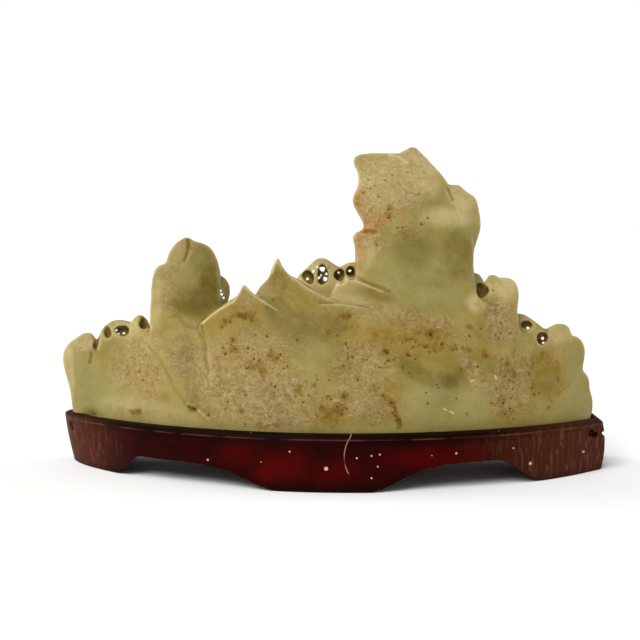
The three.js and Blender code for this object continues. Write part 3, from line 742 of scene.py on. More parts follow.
def noise_at(points, size, seed):
    """Soft noise of one size for each point, between about -1 and 1."""
    shift = Vector((seed * 17.3, seed * 5.1, seed * 9.7))
    return np.array([noise.noise(Vector(point) / size + shift) for point in points])


def add_attribute(mesh, name, values):
    """Stores one value a point for the material to read."""
    attribute = mesh.attributes.new(name, "FLOAT", "POINT")
    attribute.data.foreach_set("value", values.astype(np.float32))


class Mesh:
    """Points of a skin with their neighbours, for evening out."""

    def __init__(self, mesh):
        self.points = mesh_array(mesh, "vertices", "co", 3)
        self.normals = mesh_array(mesh, "vertex_normals", "vector", 3)
        edges = np.empty(len(mesh.edges) * 2, dtype=np.int32)
        mesh.edges.foreach_get("vertices", edges)
        self.a, self.b = edges.reshape(-1, 2).T
        size = len(self.points)
        self.count = np.maximum(np.bincount(self.a, minlength=size) + np.bincount(self.b, minlength=size), 1)

    def between_neighbours(self, points):
        """Middle of the neighbours of each point."""
        size = len(points)
        columns = [
            (np.bincount(self.a, column[self.b], size) + np.bincount(self.b, column[self.a], size)) / self.count
            for column in points.T
        ]
        return np.stack(columns, axis=1)


def convexity(skin, rounds):
    """How far each point stands proud of its neighbours, in mm, evened out over a few rounds."""
    even = skin.points
    for _ in range(rounds):
        even = skin.between_neighbours(even)
    return ((skin.points - even) * skin.normals).sum(axis=1)


def melt_back(piece):
    """Lets the crags grow together on the broad back face, away from crests, bores and outlines."""
    skin = Mesh(piece.data)
    x, _, z = skin.points.T
    facing = smoothstep(0.2, 0.6, -skin.normals[:, 1:2])
    for _ in range(MELT_BRIDGE_ROUNDS):
        facing = skin.between_neighbours(facing)
    free = smoothstep(0.5, 0.75, facing[:, 0]) * smoothstep(STAND_HEIGHT + 1, STAND_HEIGHT + 6, z)
    for line in CRESTS:
        free *= smoothstep(0.2, 2.4, distance_to_line(x, z, line))
    for bore in BORES:
        reach = np.hypot((x - bore.at[0]) / (bore.size[0] + 1.5), (z - bore.at[1]) / (bore.size[1] + 1.5))
        free *= smoothstep(0.9, 1.6, reach)
    share = 0.5 * free[:, None]
    points = skin.points
    step = np.zeros_like(points)
    for _ in range(MELT_ROUNDS):
        step = MELT_DRIFT * step + (skin.between_neighbours(points) - points) * share
        points = points + step
    piece.data.vertices.foreach_set("co", points.astype(np.float32).ravel())
    piece.data.update()


def carve_relief(piece):
    """Moves the skin by the named forms and lines, and by noise for hand-cut dents and the fluted front."""
    mesh = piece.data
    points = mesh_array(mesh, "vertices", "co", 3)
    normals = mesh_array(mesh, "vertex_normals", "vector", 3)
    x, y, z = points.T
    above_stand = smoothstep(STAND_HEIGHT + 0.5, STAND_HEIGHT + 8, z)
    facing_back = np.clip(-normals[:, 1] * 1.6, 0, 1)
    facing_front = np.clip(normals[:, 1] * 1.6, 0, 1)
    rise = np.zeros(len(points))
    for form in FORMS:
        turn = math.radians(form.tilt)
        dx, dz = x - form.at[0], z - form.at[1]
        across = (dx * math.cos(turn) - dz * math.sin(turn)) / form.size[0]
        up = (dx * math.sin(turn) + dz * math.cos(turn)) / form.size[1]
        rise += form.rise * np.exp(-(across**2) - up**2)
    for line in LINES:
        rise += line.rise * np.exp(-((distance_to_line(x, z, line.points) / line.width) ** 2))
    rise *= facing_back
    rise += HAND_CUT_RISE * noise_at(points, HAND_CUT_SIZE, 1) + 0.12 * noise_at(points, 5, 2)
    flutes = points * np.array([1.0, 1.0, 0.25])
    rise += FRONT_FLUTE_RISE * noise_at(flutes, 4.5, 3) * facing_front
    points += normals * (rise * above_stand)[:, None]
    mesh.vertices.foreach_set("co", points.astype(np.float32).ravel())
    mesh.update()


def inside_bores(skin):
    """How far inside a bore each point is, from 0 outside to 1."""
    x, y, z = skin.points.T
    inside = np.zeros(len(x))
    for bore in BORES:
        reach = np.hypot((x - bore.at[0]) / bore.size[0], (z - bore.at[1]) / bore.size[1])
        deep = np.maximum(smoothstep(bore.end - 6, bore.end - 3, y), smoothstep(-0.5, -0.1, skin.normals[:, 1]))
        inside = np.maximum(inside, (1 - smoothstep(1.0, 1.3, reach)) * deep)
    return inside


def store_edges_and_shading(mesh):
    """Stores how proud, how hollow and how crested each point is and how far inside a bore, for the material: proud
    edges are smoother and get a painted highlight, crests get a painted highlight, and hollows and bores get painted
    shade.
    """
    skin = Mesh(mesh)
    proud = convexity(skin, 6)
    x, _, z = skin.points.T
    crest = np.zeros(len(x))
    for line in CRESTS:
        crest = np.maximum(crest, np.exp(-((distance_to_line(x, z, line) / CREST_WIDTH) ** 2)))
    crest *= np.clip(-skin.normals[:, 1] * 2, 0, 1)
    add_attribute(mesh, "worn_edge", np.clip(proud / 0.3, 0, 1))
    # Hollow: where the skin lies below its neighbours, used for painted shade in the creases
    add_attribute(mesh, "hollow", np.clip(-proud / 0.25, 0, 1))
    add_attribute(mesh, "crest", crest)
    add_attribute(mesh, "bored", inside_bores(skin))


def tint(red, green, blue):
    """Linear colour from the 0 to 255 values that a screen shows."""
    shares = [value / 255 for value in (red, green, blue)]
    return tuple(((share + 0.055) / 1.055) ** 2.4 if share > 0.04 else share / 12.92 for share in shares)


class Value:
    """A number that varies over the surface, so that shader maths reads as plain expressions."""

    def __init__(self, shader, socket):
        self.shader = shader
        self.socket = socket

    def _math(self, operation, first, second):
        node = self.shader.node("ShaderNodeMath", {"operation": operation}, {0: first, 1: second})
        return Value(self.shader, node.outputs[0])

    def __add__(self, other):
        return self._math("ADD", self, other)

    def __radd__(self, other):
        return self._math("ADD", other, self)

    def __sub__(self, other):
        return self._math("SUBTRACT", self, other)

    def __rsub__(self, other):
        return self._math("SUBTRACT", other, self)

    def __mul__(self, other):
        return self._math("MULTIPLY", self, other)

    def __rmul__(self, other):
        return self._math("MULTIPLY", other, self)

    def or_more(self, other):
        """The larger of two values."""
        return self._math("MAXIMUM", self, other)

    def or_less(self, other):
        """The smaller of two values."""
        return self._math("MINIMUM", self, other)

    def ramp(self, start, end):
        """Smooth ramp: 0 at start and 1 at end, where end may be the smaller."""
        settings = {"interpolation_type": "SMOOTHSTEP"}
        low, high, at_low, at_high = (start, end, 0, 1) if start < end else (end, start, 1, 0)
        values = {"Value": self, "From Min": low, "From Max": high, "To Min": at_low, "To Max": at_high}
        return Value(self.shader, self.shader.node("ShaderNodeMapRange", settings, values).outputs["Result"])


class Shader:
    """One material with its nodes."""

    def __init__(self, name):
        self.material = bpy.data.materials.new(name)
        self.material.use_nodes = True
        self.tree = self.material.node_tree
        self.tree.nodes.clear()
        self.place = self.node("ShaderNodeTexCoord").outputs["Object"]

    def node(self, kind, settings=None, values=None):
        """Adds a node: its settings come first, then the values or links of its sockets."""
        node = self.tree.nodes.new(kind)
        for key, value in (settings or {}).items():
            setattr(node, key, value)
        for key, value in (values or {}).items():
            socket = node.inputs[key]
            value = value.socket if isinstance(value, Value) else value
            if isinstance(value, bpy.types.NodeSocket):
                self.tree.links.new(value, socket)
            elif isinstance(value, tuple) and len(value) == 3 and socket.type == "RGBA":
                socket.default_value = (*value, 1)
            else:
                socket.default_value = value
        return node

    def mix(self, part, under, over, blend="MIX"):
        """Colour over another colour, by a part between 0 and 1."""
        settings = {"data_type": "RGBA", "blend_type": blend, "clamp_factor": True}
        return self.node("ShaderNodeMix", settings, {0: part, 6: under, 7: over}).outputs[2]

    def noise(self, size_mm, detail=3.0, roughness=0.55, where=None, distortion=0.0):
        """Soft noise with features of one size in mm."""
        values = {
            "Vector": where or self.place, "Scale": 1000 / size_mm, "Detail": detail, "Roughness": roughness,
            "Distortion": distortion,
        }
        return Value(self, self.node("ShaderNodeTexNoise", None, values).outputs["Fac"])

    def spots(self, cell_mm, radius, where=None, spread=0.6):
        """Round spots of mixed size, one in some of the cells: radius is a part of the cell."""
        values = {"Vector": where or self.place, "Scale": 1000 / cell_mm}
        cell = self.node("ShaderNodeTexVoronoi", None, values)
        shade = self.node("ShaderNodeSeparateColor", None, {0: cell.outputs["Color"]})
        size = Value(self, shade.outputs[0]) * spread + (1 - spread)
        distance = Value(self, cell.outputs["Distance"])
        return (size * radius - distance).ramp(0.0, radius * 0.45), Value(self, shade.outputs[1])

    def attribute(self, name):
        """Value that the piece stores at its points."""
        node = self.node("ShaderNodeAttribute", {"attribute_name": name})
        return Value(self, node.outputs["Fac"])

    def axes(self):
        """Position on the object along each axis, in mm."""
        split = self.node("ShaderNodeSeparateXYZ", None, {0: self.place})
        return [Value(self, output) * 1000 for output in split.outputs]

    def warped(self, steps):
        """Place shifted by noise: steps are (size, shift) in mm."""
        place = self.place
        for size, shift in steps:
            values = {"Vector": self.place, "Scale": 1000 / size, "Detail": 2.0}
            wave = self.node("ShaderNodeTexNoise", None, values).outputs["Color"]
            centred = self.node("ShaderNodeVectorMath", {"operation": "SUBTRACT"}, {0: wave, 1: (0.5, 0.5, 0.5)})
            scaled = self.node(
                "ShaderNodeVectorMath", {"operation": "SCALE"}, {0: centred.outputs[0], "Scale": shift * 2 * MM}
            )
            place = self.node("ShaderNodeVectorMath", None, {0: place, 1: scaled.outputs[0]}).outputs[0]
        return place

    def patch(self, where, spot, edge=0.45):
        """Soft oval patch, 1 in its middle, that runs through the stone from back to front."""
        values = {
            "Vector": where,
            "Location": (spot.at[0] * MM, 0, spot.at[1] * MM),
            "Rotation": (0, -math.radians(spot.tilt), 0),
            "Scale": (spot.size[0] * MM, 10, spot.size[1] * MM),
        }
        local = self.node("ShaderNodeMapping", {"vector_type": "TEXTURE"}, values).outputs[0]
        length = self.node("ShaderNodeVectorMath", {"operation": "LENGTH"}, {0: local})
        return Value(self, length.outputs["Value"]).ramp(1 + edge, 1 - edge) * spot.amount

    def dots(self, where, dots):
        """Distance to the nearest named dot, in its radii: each is its middle (x, z) and its radius in mm."""
        flat = self.node("ShaderNodeVectorMath", {"operation": "MULTIPLY"}, {0: where, 1: (1, 0, 1)}).outputs[0]
        nearest = None
        for x, z, radius in dots:
            centre = {0: flat, 1: (x * MM, 0, z * MM)}
            away = Value(self, self.node("ShaderNodeVectorMath", {"operation": "DISTANCE"}, centre).outputs["Value"])
            away = away * (1 / (radius * MM))
            nearest = away if nearest is None else nearest.or_less(away)
        return nearest

    def finish(self, values, height=None, distance_mm=0.1, strength=1.0):
        """Adds the surface shader and the output."""
        surface = self.node("ShaderNodeBsdfPrincipled", None, values)
        if height is not None:
            bump = self.node(
                "ShaderNodeBump", None, {"Strength": strength, "Distance": distance_mm * MM, "Height": height}
            )
            self.tree.links.new(bump.outputs[0], surface.inputs["Normal"])
        self.node("ShaderNodeOutputMaterial", None, {0: surface.outputs[0]})
        return self.material


class Spot(NamedTuple):
    """Patch of colour in the stone: middle (x, z), half sizes, tilt in degrees, and how strong it is."""

    at: tuple
    size: tuple
    tilt: float = 0
    amount: float = 1


PALE_GREEN = [
    Spot((-128, 46), (9, 16)), Spot((-116, 40), (11, 13)), Spot((-104, 36), (10, 8), 0, 0.6),
    Spot((-84, 33), (14, 6), 0, 0.5), Spot((-70, 106), (9, 9), 0, 0.8), Spot((52, 134), (12, 12), 35, 0.7),
    Spot((46, 104), (26, 17), 0, 0.9), Spot((66, 128), (9, 16), 0, 0.8), Spot((28, 112), (10, 6), 0, 0.6),
    Spot((50, 90), (20, 5), 0, 0.8), Spot((10, 92), (10, 5), -20, 0.5), Spot((-8, 66), (10, 8), 0, 0.7),
    Spot((46, 40), (14, 10)), Spot((68, 38), (13, 9)), Spot((56, 46), (10, 6)), Spot((126, 54), (6, 14), 0, 0.9),
    Spot((122, 36), (10, 6), 0, 0.6), Spot((98, 68), (8, 8), 0, 0.5),
]
# Olive areas, partly the stone's own colour and partly painted shade: the olive on the right side of the left peak
# stands in for its shade
OLIVE = [
    Spot((-70, 88), (11, 7)), Spot((-62, 96), (5, 12), 0, 0.9), Spot((-66, 108), (6, 8), 0, 0.5),
    Spot((-26, 84), (8, 6), -30, 0.7), Spot((-16, 76), (13, 8), -20, 0.8), Spot((-6, 74), (9, 5), 0, 0.7),
    Spot((-26, 98), (6, 8), 0, 0.5), Spot((0, 78), (9, 6), 0, 0.7), Spot((42, 112), (11, 9), 0, 0.6),
    Spot((64, 110), (9, 13), 0, 0.7), Spot((52, 100), (16, 5), 0, 0.4), Spot((38, 121), (6, 4), 0, 0.5),
    Spot((42, 55), (12, 4), -35, 0.8), Spot((56, 51), (6, 3.6), -10), Spot((22, 92), (8, 3), -15, 0.5),
    Spot((84, 56), (8, 5), -20, 0.5), Spot((108, 50), (9, 10), 0, 0.5),
]
BEIGE = [
    Spot((28, 146), (22, 16), 25), Spot((18, 134), (10, 12)), Spot((18, 117), (9, 8), 0, 0.8),
    Spot((42, 156), (10, 8), 0, 0.9), Spot((-84, 98), (8, 14), 0, 0.6), Spot((-78, 112), (7, 8), 0, 0.7),
    Spot((-98, 56), (14, 16), -30, 0.8), Spot((-92, 44), (9, 12), -20, 0.6), Spot((-128, 64), (7, 5), 0, 0.8),
    Spot((-42, 56), (22, 17), 0, 0.9), Spot((-24, 40), (24, 12), 0, 0.9), Spot((-50, 38), (16, 9), 0, 0.8),
    Spot((14, 46), (14, 13), 0, 0.8), Spot((16, 60), (14, 8), 0, 0.6), Spot((30, 82), (22, 5), -8, 0.8),
    Spot((56, 76), (8, 5), 0, 0.6), Spot((86, 80), (8, 12), 0, 0.8), Spot((70, 54), (15, 4), -55),
    Spot((88, 46), (12, 14), 0, 0.7), Spot((112, 66), (8, 6), 0, 0.6), Spot((-40, 92), (8, 6), 0, 0.6),
]
# Palest areas of the stone, with some painted highlights: the narrow strip on the far left edge of the boulder and the
# spots on the top of the tall peak are made paler where the light falls on them
CREAM = [
    Spot((26, 148), (22, 14), 15, 0.7), Spot((44, 153), (13, 10), -40, 1.0), Spot((67, 140), (8, 8), 0, 0.9),
    Spot((60, 130), (12, 5), 0, 0.8), Spot((88, 95), (8, 7), 0, 0.9), Spot((0, 100), (14, 9), 0, 0.7),
    Spot((118, 70), (8, 4), 0, 0.6), Spot((-137, 50), (3, 16), 0, 0.9), Spot((-128, 65), (8, 4), 0, 0.8),
    Spot((-104, 72), (9, 5), 0, 0.6), Spot((-82, 112), (5, 8), 0, 0.5), Spot((-89, 88), (3, 14), 0, 0.5),
    Spot((5, 90), (12, 3), -15, 0.6), Spot((73, 87), (5, 4), 0, 0.8), Spot((17, 112), (5, 8), 0, 0.5),
    Spot((-98, 33), (26, 6), 0, 0.4),
]
LILAC = [
    Spot((-73, 62), (9, 13), -10), Spot((-66, 48), (7, 9), 0, 0.9), Spot((-40, 48), (16, 12), 0, 0.7),
    Spot((-24, 48), (10, 8), 0, 0.5), Spot((18, 64), (5, 4), 0, 0.9), Spot((24, 38), (4.5, 6), 20),
    Spot((84, 78), (7, 9), 0, 0.8), Spot((56, 78), (5, 4), 0, 0.7), Spot((86, 44), (7, 9), 0, 0.6),
    Spot((-28, 34), (10, 6), 0, 0.6),
]
OCHRE = [
    Spot((-48, 80), (14, 8), 20, 0.7), Spot((6, 76), (12, 8), 0, 0.7), Spot((30, 72), (24, 9), 0, 0.55),
    Spot((52, 70), (14, 7), 0, 0.6), Spot((76, 62), (9, 4), -20, 0.7), Spot((90, 55), (9, 6), 0, 0.7),
    Spot((0, 36), (12, 8), 0, 0.6), Spot((28, 42), (6, 9), 30, 0.6), Spot((108, 50), (14, 10), 0, 0.35),
    Spot((-28, 62), (9, 8), 0, 0.4), Spot((-94, 46), (8, 12), -20, 0.4), Spot((-44, 60), (8, 6), 0, 0.4),
    Spot((-12, 84), (10, 5), -30, 0.4),
]
RUST = [
    Spot((-52.5, 78), (3.4, 2.2), 20, 0.9), Spot((-42.5, 82), (4.6, 2.0), 5, 1.1), Spot((-37.8, 80.6), (1.8, 3)),
    Spot((-47.6, 81), (2.5, 1.2), 20, 0.6), Spot((-42.5, 80), (1.2, 2.4), 0, 0.9), Spot((-47, 64), (3, 4), 0, 0.7),
    Spot((-39, 58), (4.5, 3), 0, 0.7), Spot((-28, 63), (3.4, 3.4), 0, 0.8), Spot((-55, 56), (4, 1.6), 0, 0.45),
    Spot((-49, 55), (3, 2), 0, 0.5), Spot((-32.6, 54.5), (1.6, 3.4), 0, 0.75), Spot((-43, 35), (3.6, 1.8), -35, 0.85),
    Spot((-57, 43), (2.6, 2.4), 0, 0.5), Spot((-44, 44.6), (2, 2), 0, 0.6), Spot((-15, 47), (3, 3), 0, 0.7),
    Spot((-9, 47), (2.4, 5), -20, 0.6), Spot((-33, 30), (5, 2), 0, 0.4), Spot((1, 34), (7, 5), 0, 0.9),
    Spot((4, 39), (3.4, 3.6), 0, 0.8), Spot((-4, 36), (4, 6), 0, 0.6), Spot((6.5, 44.5), (2.2, 1.6)),
    Spot((5, 80.8), (4.6, 1.8)), Spot((9, 81), (1.6, 1.2), 0, 1.1), Spot((6, 77), (7, 3), 0, 0.5),
    Spot((-1.5, 74), (1.6, 1.4), 0, 0.8), Spot((14, 78), (3.4, 1.4), -10, 0.7), Spot((16, 72), (7, 4), 0, 0.55),
    Spot((24, 72), (5, 4), 0, 0.5), Spot((22, 66), (6, 3), 0, 0.45), Spot((26.6, 65.4), (1.8, 1.3), -30, 1.1),
    Spot((28, 60.8), (2.2, 1.2)), Spot((38, 63.4), (2.8, 1.0), -5, 1.1), Spot((46, 78), (2.6, 1.6), -20, 0.9),
    Spot((49.5, 73), (3.4, 2.6), -20, 1.1), Spot((38, 69.5), (6, 0.9), 2, 0.9), Spot((46, 67), (3.4, 1.4), 0, 0.9),
    Spot((54, 68), (4.4, 2.6), 0, 0.9), Spot((60.6, 66.6), (2.6, 2.2)), Spot((50, 65), (3, 1.4), 0, 0.8),
    Spot((34, 72), (8, 4), 0, 0.5), Spot((54, 74), (6, 3), 0, 0.6), Spot((42, 74), (6, 3), 0, 0.5),
    Spot((67, 65.4), (3.4, 1.8), -15, 0.9), Spot((76, 63), (6, 2.4), -20, 0.8), Spot((68.5, 76.3), (2.6, 1.2), 0, 0.6),
    Spot((87.6, 57), (2.6, 3.4), 0, 0.9), Spot((92, 53), (5, 4), 0, 0.6), Spot((97, 57), (3, 3), 0, 0.5),
    Spot((21.5, 48), (2.6, 1.6), -50, 0.9), Spot((25.4, 44), (3.0, 1.4), -55, 0.9), Spot((29.3, 41), (2, 1.6), 0, 1.1),
    Spot((30.8, 37.4), (3.4, 1.6), -70, 1.1), Spot((33, 31.5), (2.0, 3.2), 20), Spot((27, 48), (4, 3), 0, 0.45),
    Spot((25.6, 56.5), (3.4, 1.6), 0, 0.5), Spot((22, 31), (5, 1.6), 0, 0.6), Spot((12.4, 52), (1.6, 2), 0, 0.6),
    Spot((115, 52), (1.8, 6), 0, 0.8), Spot((101.6, 54), (1.6, 5), 0, 0.6), Spot((108, 56), (7, 6), 0, 0.4),
    Spot((103, 46), (3, 5), 0, 0.6), Spot((118, 44), (5, 5), 0, 0.4), Spot((110, 36), (1.6, 5), 0, 0.6),
    Spot((88, 33), (5, 4), 0, 0.6), Spot((84, 40), (4, 4), 0, 0.4), Spot((-69, 36.2), (2.6, 1.4), -25, 1.2),
    Spot((-99, 31), (4, 2.4), 0, 0.6), Spot((-89, 50), (3.4, 5), -20, 0.45), Spot((-72, 116), (2, 2.4), 0, 0.6),
    Spot((-61, 111), (2, 2), 0, 0.5), Spot((-60, 83), (3, 3), 0, 0.5), Spot((29, 131.5), (1.2, 3.4)),
    Spot((12.6, 138.5), (1.6, 5), 0, 0.8), Spot((15.4, 142), (1.4, 1.6), 0, 0.7), Spot((18.4, 122.6), (2.6, 1.2), 0, 1.1),
    Spot((36, 121), (5, 2), 0, 0.45), Spot((15, 115.6), (2, 1.2), 0, 0.6), Spot((18, 132), (6, 1.6), 25, 0.5),
    Spot((27.5, 90.6), (2.2, 0.8), 0, 0.7), Spot((24, 92), (6, 2), -15, 0.35),
]
RED_STAIN = [
    Spot((19, 125), (5, 3.4)), Spot((24, 128), (6, 3), 35, 0.6), Spot((14.5, 121.8), (3.4, 1.8), 0, 0.9),
    Spot((13, 138), (3, 7), 0, 0.5), Spot((14, 114), (3.4, 5), 0, 0.4), Spot((11, 104), (4, 3), 0, 0.5),
    Spot((33, 132), (4, 2), 20, 0.3),
]
SPECKLED = [
    Spot((-36, 60), (20, 18), 0), Spot((-26, 44), (18, 12), 0, 0.9), Spot((14, 62), (18, 10), 0),
    Spot((24, 44), (12, 12), 0, 0.7), Spot((52, 70), (24, 7), 0, 0.9), Spot((88, 68), (14, 9), 0),
    Spot((94, 50), (14, 14), 0, 0.9), Spot((28, 136), (22, 20), 0, 0.6), Spot((-24, 94), (14, 8), 0, 0.6),
    Spot((-4, 80), (14, 8), 0, 0.5), Spot((4, 40), (12, 10), 0, 0.7), Spot((-90, 60), (10, 10), 0, 0.4),
    Spot((34, 122), (14, 5), 0, 0.6),
]
# Fine pale scratches
SCRATCHES = [
    Spot((64.4, 132.4), (8.2, 0.3), -68, 0.8), Spot((55.3, 37.2), (1.2, 0.35), -30), Spot((58.8, 35.5), (1.5, 0.35), -30),
    Spot((81.2, 51.4), (1.4, 0.35), -70), Spot((69.4, 50.2), (1.0, 0.3), 10),
]
# Mineral pits of the back: middle (x, z) and radius in mm
DARK_PITS = [
    (-31.4, 72, 0.5), (-16.6, 70.4, 0.5), (-48.9, 68, 0.4), (-53.1, 66, 0.45), (-52, 63.1, 0.6),
    (-40.7, 66.3, 0.5), (-38.4, 65.6, 0.35), (-37.8, 61.3, 0.5), (-46.7, 63.8, 0.35), (-48.6, 64.4, 0.35),
    (-41.2, 56.7, 0.55), (-40.4, 57, 0.5), (-35, 60.8, 0.6), (-24.8, 63.6, 0.5), (-21.2, 58.2, 0.45),
    (-22.9, 57.4, 0.35), (-33.1, 51.4, 0.4), (-27.2, 48.4, 0.55), (-29.2, 49.8, 0.35), (-42.6, 45.6, 0.6),
    (-41.5, 43.8, 0.6), (-17.4, 44.3, 0.45), (-11, 44.7, 0.45), (-1.5, 44.2, 0.45), (-2.3, 43.1, 0.35),
    (-0.2, 42.9, 0.35), (-7.2, 53.9, 0.3), (-6.9, 52, 0.35), (5.9, 58.8, 0.5), (7, 69.1, 0.55),
    (7.5, 68.1, 0.45), (8.2, 67.1, 0.45), (8, 64, 0.4), (8, 61.7, 0.4), (3, 72.9, 0.55), (4.7, 72.6, 0.35),
    (-1.5, 73.8, 0.55), (-19.8, 32, 0.35), (-18.3, 49.2, 0.3), (2.8, 39.3, 0.5), (2.1, 37.4, 0.45),
    (-60.4, 32.8, 0.6), (8.2, 62.8, 0.4), (10.3, 62.7, 0.35), (16, 61.6, 0.4), (17.4, 61.5, 0.35),
    (30.3, 61.3, 0.4), (31.2, 62, 0.3), (26.1, 65.4, 0.65), (26.9, 64.6, 0.55), (27.6, 61, 0.5),
    (26, 59.8, 0.55), (34.5, 69.1, 0.45), (36, 69.2, 0.3), (38.1, 69.3, 0.3), (41.3, 69.3, 0.4),
    (36.9, 63.2, 0.65), (38.1, 63, 0.55), (40.7, 61.6, 0.45), (45.6, 66.9, 0.55), (48.9, 72.9, 0.8),
    (47.9, 64.7, 0.45), (54.1, 68.2, 0.75), (61.6, 65.9, 0.5), (61.3, 67.9, 0.35), (64.5, 66.5, 0.45),
    (68.1, 71.9, 0.5), (74.5, 74.9, 0.45), (72.1, 56.9, 0.6), (63.7, 55.8, 0.5), (63.9, 54.8, 0.35),
    (37.7, 55.2, 0.45), (34.9, 57.6, 0.4), (46.7, 40.6, 0.65), (46, 45.8, 0.3), (52.2, 47.8, 0.45),
    (51.2, 49.3, 0.35), (29, 41, 0.65), (30, 38.7, 0.45), (29.7, 36, 0.5), (30.7, 35, 0.4),
    (33.5, 31.5, 0.45), (12.8, 51.7, 0.5), (7.6, 38.4, 0.65), (61, 42, 0.4), (81.6, 93.2, 0.4),
    (83, 83.7, 0.5), (85.2, 76.8, 0.45), (87.7, 78, 0.4), (79.3, 76.1, 0.4), (81.9, 71.6, 0.45),
    (83.3, 69.7, 0.4), (85.7, 69.4, 0.35), (89.3, 72.2, 0.35), (90.3, 71.9, 0.35), (91.4, 60.3, 0.3),
    (86.2, 51.6, 0.4), (87.9, 50.1, 0.45), (89, 48.9, 0.45), (90.6, 48.3, 0.4), (86.7, 45.4, 0.45),
    (90.2, 45.4, 0.4), (81.4, 45.8, 0.45), (101, 44.5, 0.45), (99.6, 51.6, 0.5), (85.1, 38.5, 0.5),
    (89.3, 40.7, 0.4), (88.5, 35.8, 0.55), (85.8, 33.4, 0.45), (90.2, 31.2, 0.35), (104.9, 41.8, 0.4),
    (16.9, 157, 0.5), (18.7, 148.6, 0.6), (19.6, 144.1, 0.5), (21.6, 145.5, 0.4), (37.2, 152.1, 0.4),
    (38.2, 152.2, 0.35), (14.2, 140.5, 0.6), (28.9, 129.7, 0.5), (33.5, 124.9, 0.4), (35.8, 124.8, 0.4),
    (37.4, 125.4, 0.4), (32.4, 125, 0.3), (45.2, 126.4, 0.45), (48.5, 129.6, 0.4), (30.8, 150.9, 0.35),
    (27, 148.4, 0.35), (24.1, 140.1, 0.3), (44.1, 141.4, 0.3), (46.7, 152.2, 0.3), (34.5, 146.3, 0.3),
    (-37.1, 72.6, 0.45), (-28.5, 89.6, 0.45), (-42, 80.1, 0.5), (-49.6, 78.7, 0.45), (-52.6, 78.7, 0.5),
    (-94.3, 60.1, 0.5), (-103.9, 49.9, 0.5), (-95.2, 47.8, 0.5), (-97.4, 51.6, 0.4), (-126.7, 28.5, 0.35),
]
RUST_PITS = [
    (-48.3, 70.1, 0.75), (-26.3, 61.9, 0.65), (-34.3, 55.5, 0.5), (-33.6, 53.2, 0.4), (-15.6, 46.9, 0.45),
    (-12.3, 51.3, 0.5), (-15.4, 52.3, 0.45), (-32.9, 34.6, 0.3), (-31.1, 35.5, 0.3), (-30.6, 34.4, 0.35),
    (-31.8, 33.3, 0.3), (-28, 30.4, 0.3), (-25.9, 30, 0.35), (-33.9, 28.6, 0.4), (-34.9, 27.3, 0.3),
    (-1, 52, 0.4), (-50.8, 40.4, 0.6), (-52, 36.5, 0.45), (-42, 29.8, 0.45), (6.1, 44.1, 1),
    (39.8, 67, 0.5), (66.6, 65.4, 0.55), (76.6, 62.3, 0.8), (24.9, 44.2, 0.6), (32.1, 29.5, 0.5),
    (66.5, 34.6, 0.65), (84.6, 72.3, 0.55), (91.9, 63.7, 0.4), (90.9, 62.4, 0.35), (98.1, 59.3, 0.4),
    (87.4, 57.4, 0.9), (79, 39.4, 0.55), (82.8, 40.3, 0.5), (102.1, 41.3, 0.6), (15.8, 142.6, 0.6),
    (28.9, 134.1, 0.6), (35.8, 121.7, 0.35), (37.7, 120.2, 0.35), (14.2, 115.7, 0.4), (22.9, 116, 0.35),
    (20.8, 121.2, 0.3), (17.6, 123, 0.6), (22.5, 125.6, 0.45), (-72.6, 116.6, 0.45), (-72.5, 115.5, 0.4),
    (-121.2, 51.1, 0.7),
]
COLOUR_AREAS = {
    "pale_green": PALE_GREEN, "olive": OLIVE, "beige": BEIGE, "cream": CREAM, "lilac": LILAC, "ochre": OCHRE,
    "rust": RUST, "red_stain": RED_STAIN, "speckled": SPECKLED,
}
AREA_SHIFTS = [(26, 0.9), (8, 0.9), (3, 0.6)]
AREA_EDGE = 0.45
GRAIN_SHIFT = [(26, 7), (7, 2.6)]
RAGGED_SHIFT = [(1.4, 0.8)]


def store_areas(mesh):
    """Stores how much of each colour area reaches each point: an area runs through the stone from back to front."""
    points = mesh_array(mesh, "vertices", "co", 3)
    x, z = points[:, 0].copy(), points[:, 2].copy()
    for step, (size, shift) in enumerate(AREA_SHIFTS):
        x += shift * noise_at(points, size, 11 + step)
        z += shift * noise_at(points, size, 21 + step)
    for name, spots in COLOUR_AREAS.items():
        amount = np.zeros(len(points))
        for spot in spots:
            turn = math.radians(spot.tilt)
            dx, dz = x - spot.at[0], z - spot.at[1]
            across = (dx * math.cos(turn) + dz * math.sin(turn)) / spot.size[0]
            up = (dz * math.cos(turn) - dx * math.sin(turn)) / spot.size[1]
            inside = 1 - smoothstep(1 - AREA_EDGE, 1 + AREA_EDGE, np.hypot(across, up))
            amount = np.maximum(amount, inside * spot.amount)
        add_attribute(mesh, name, amount)


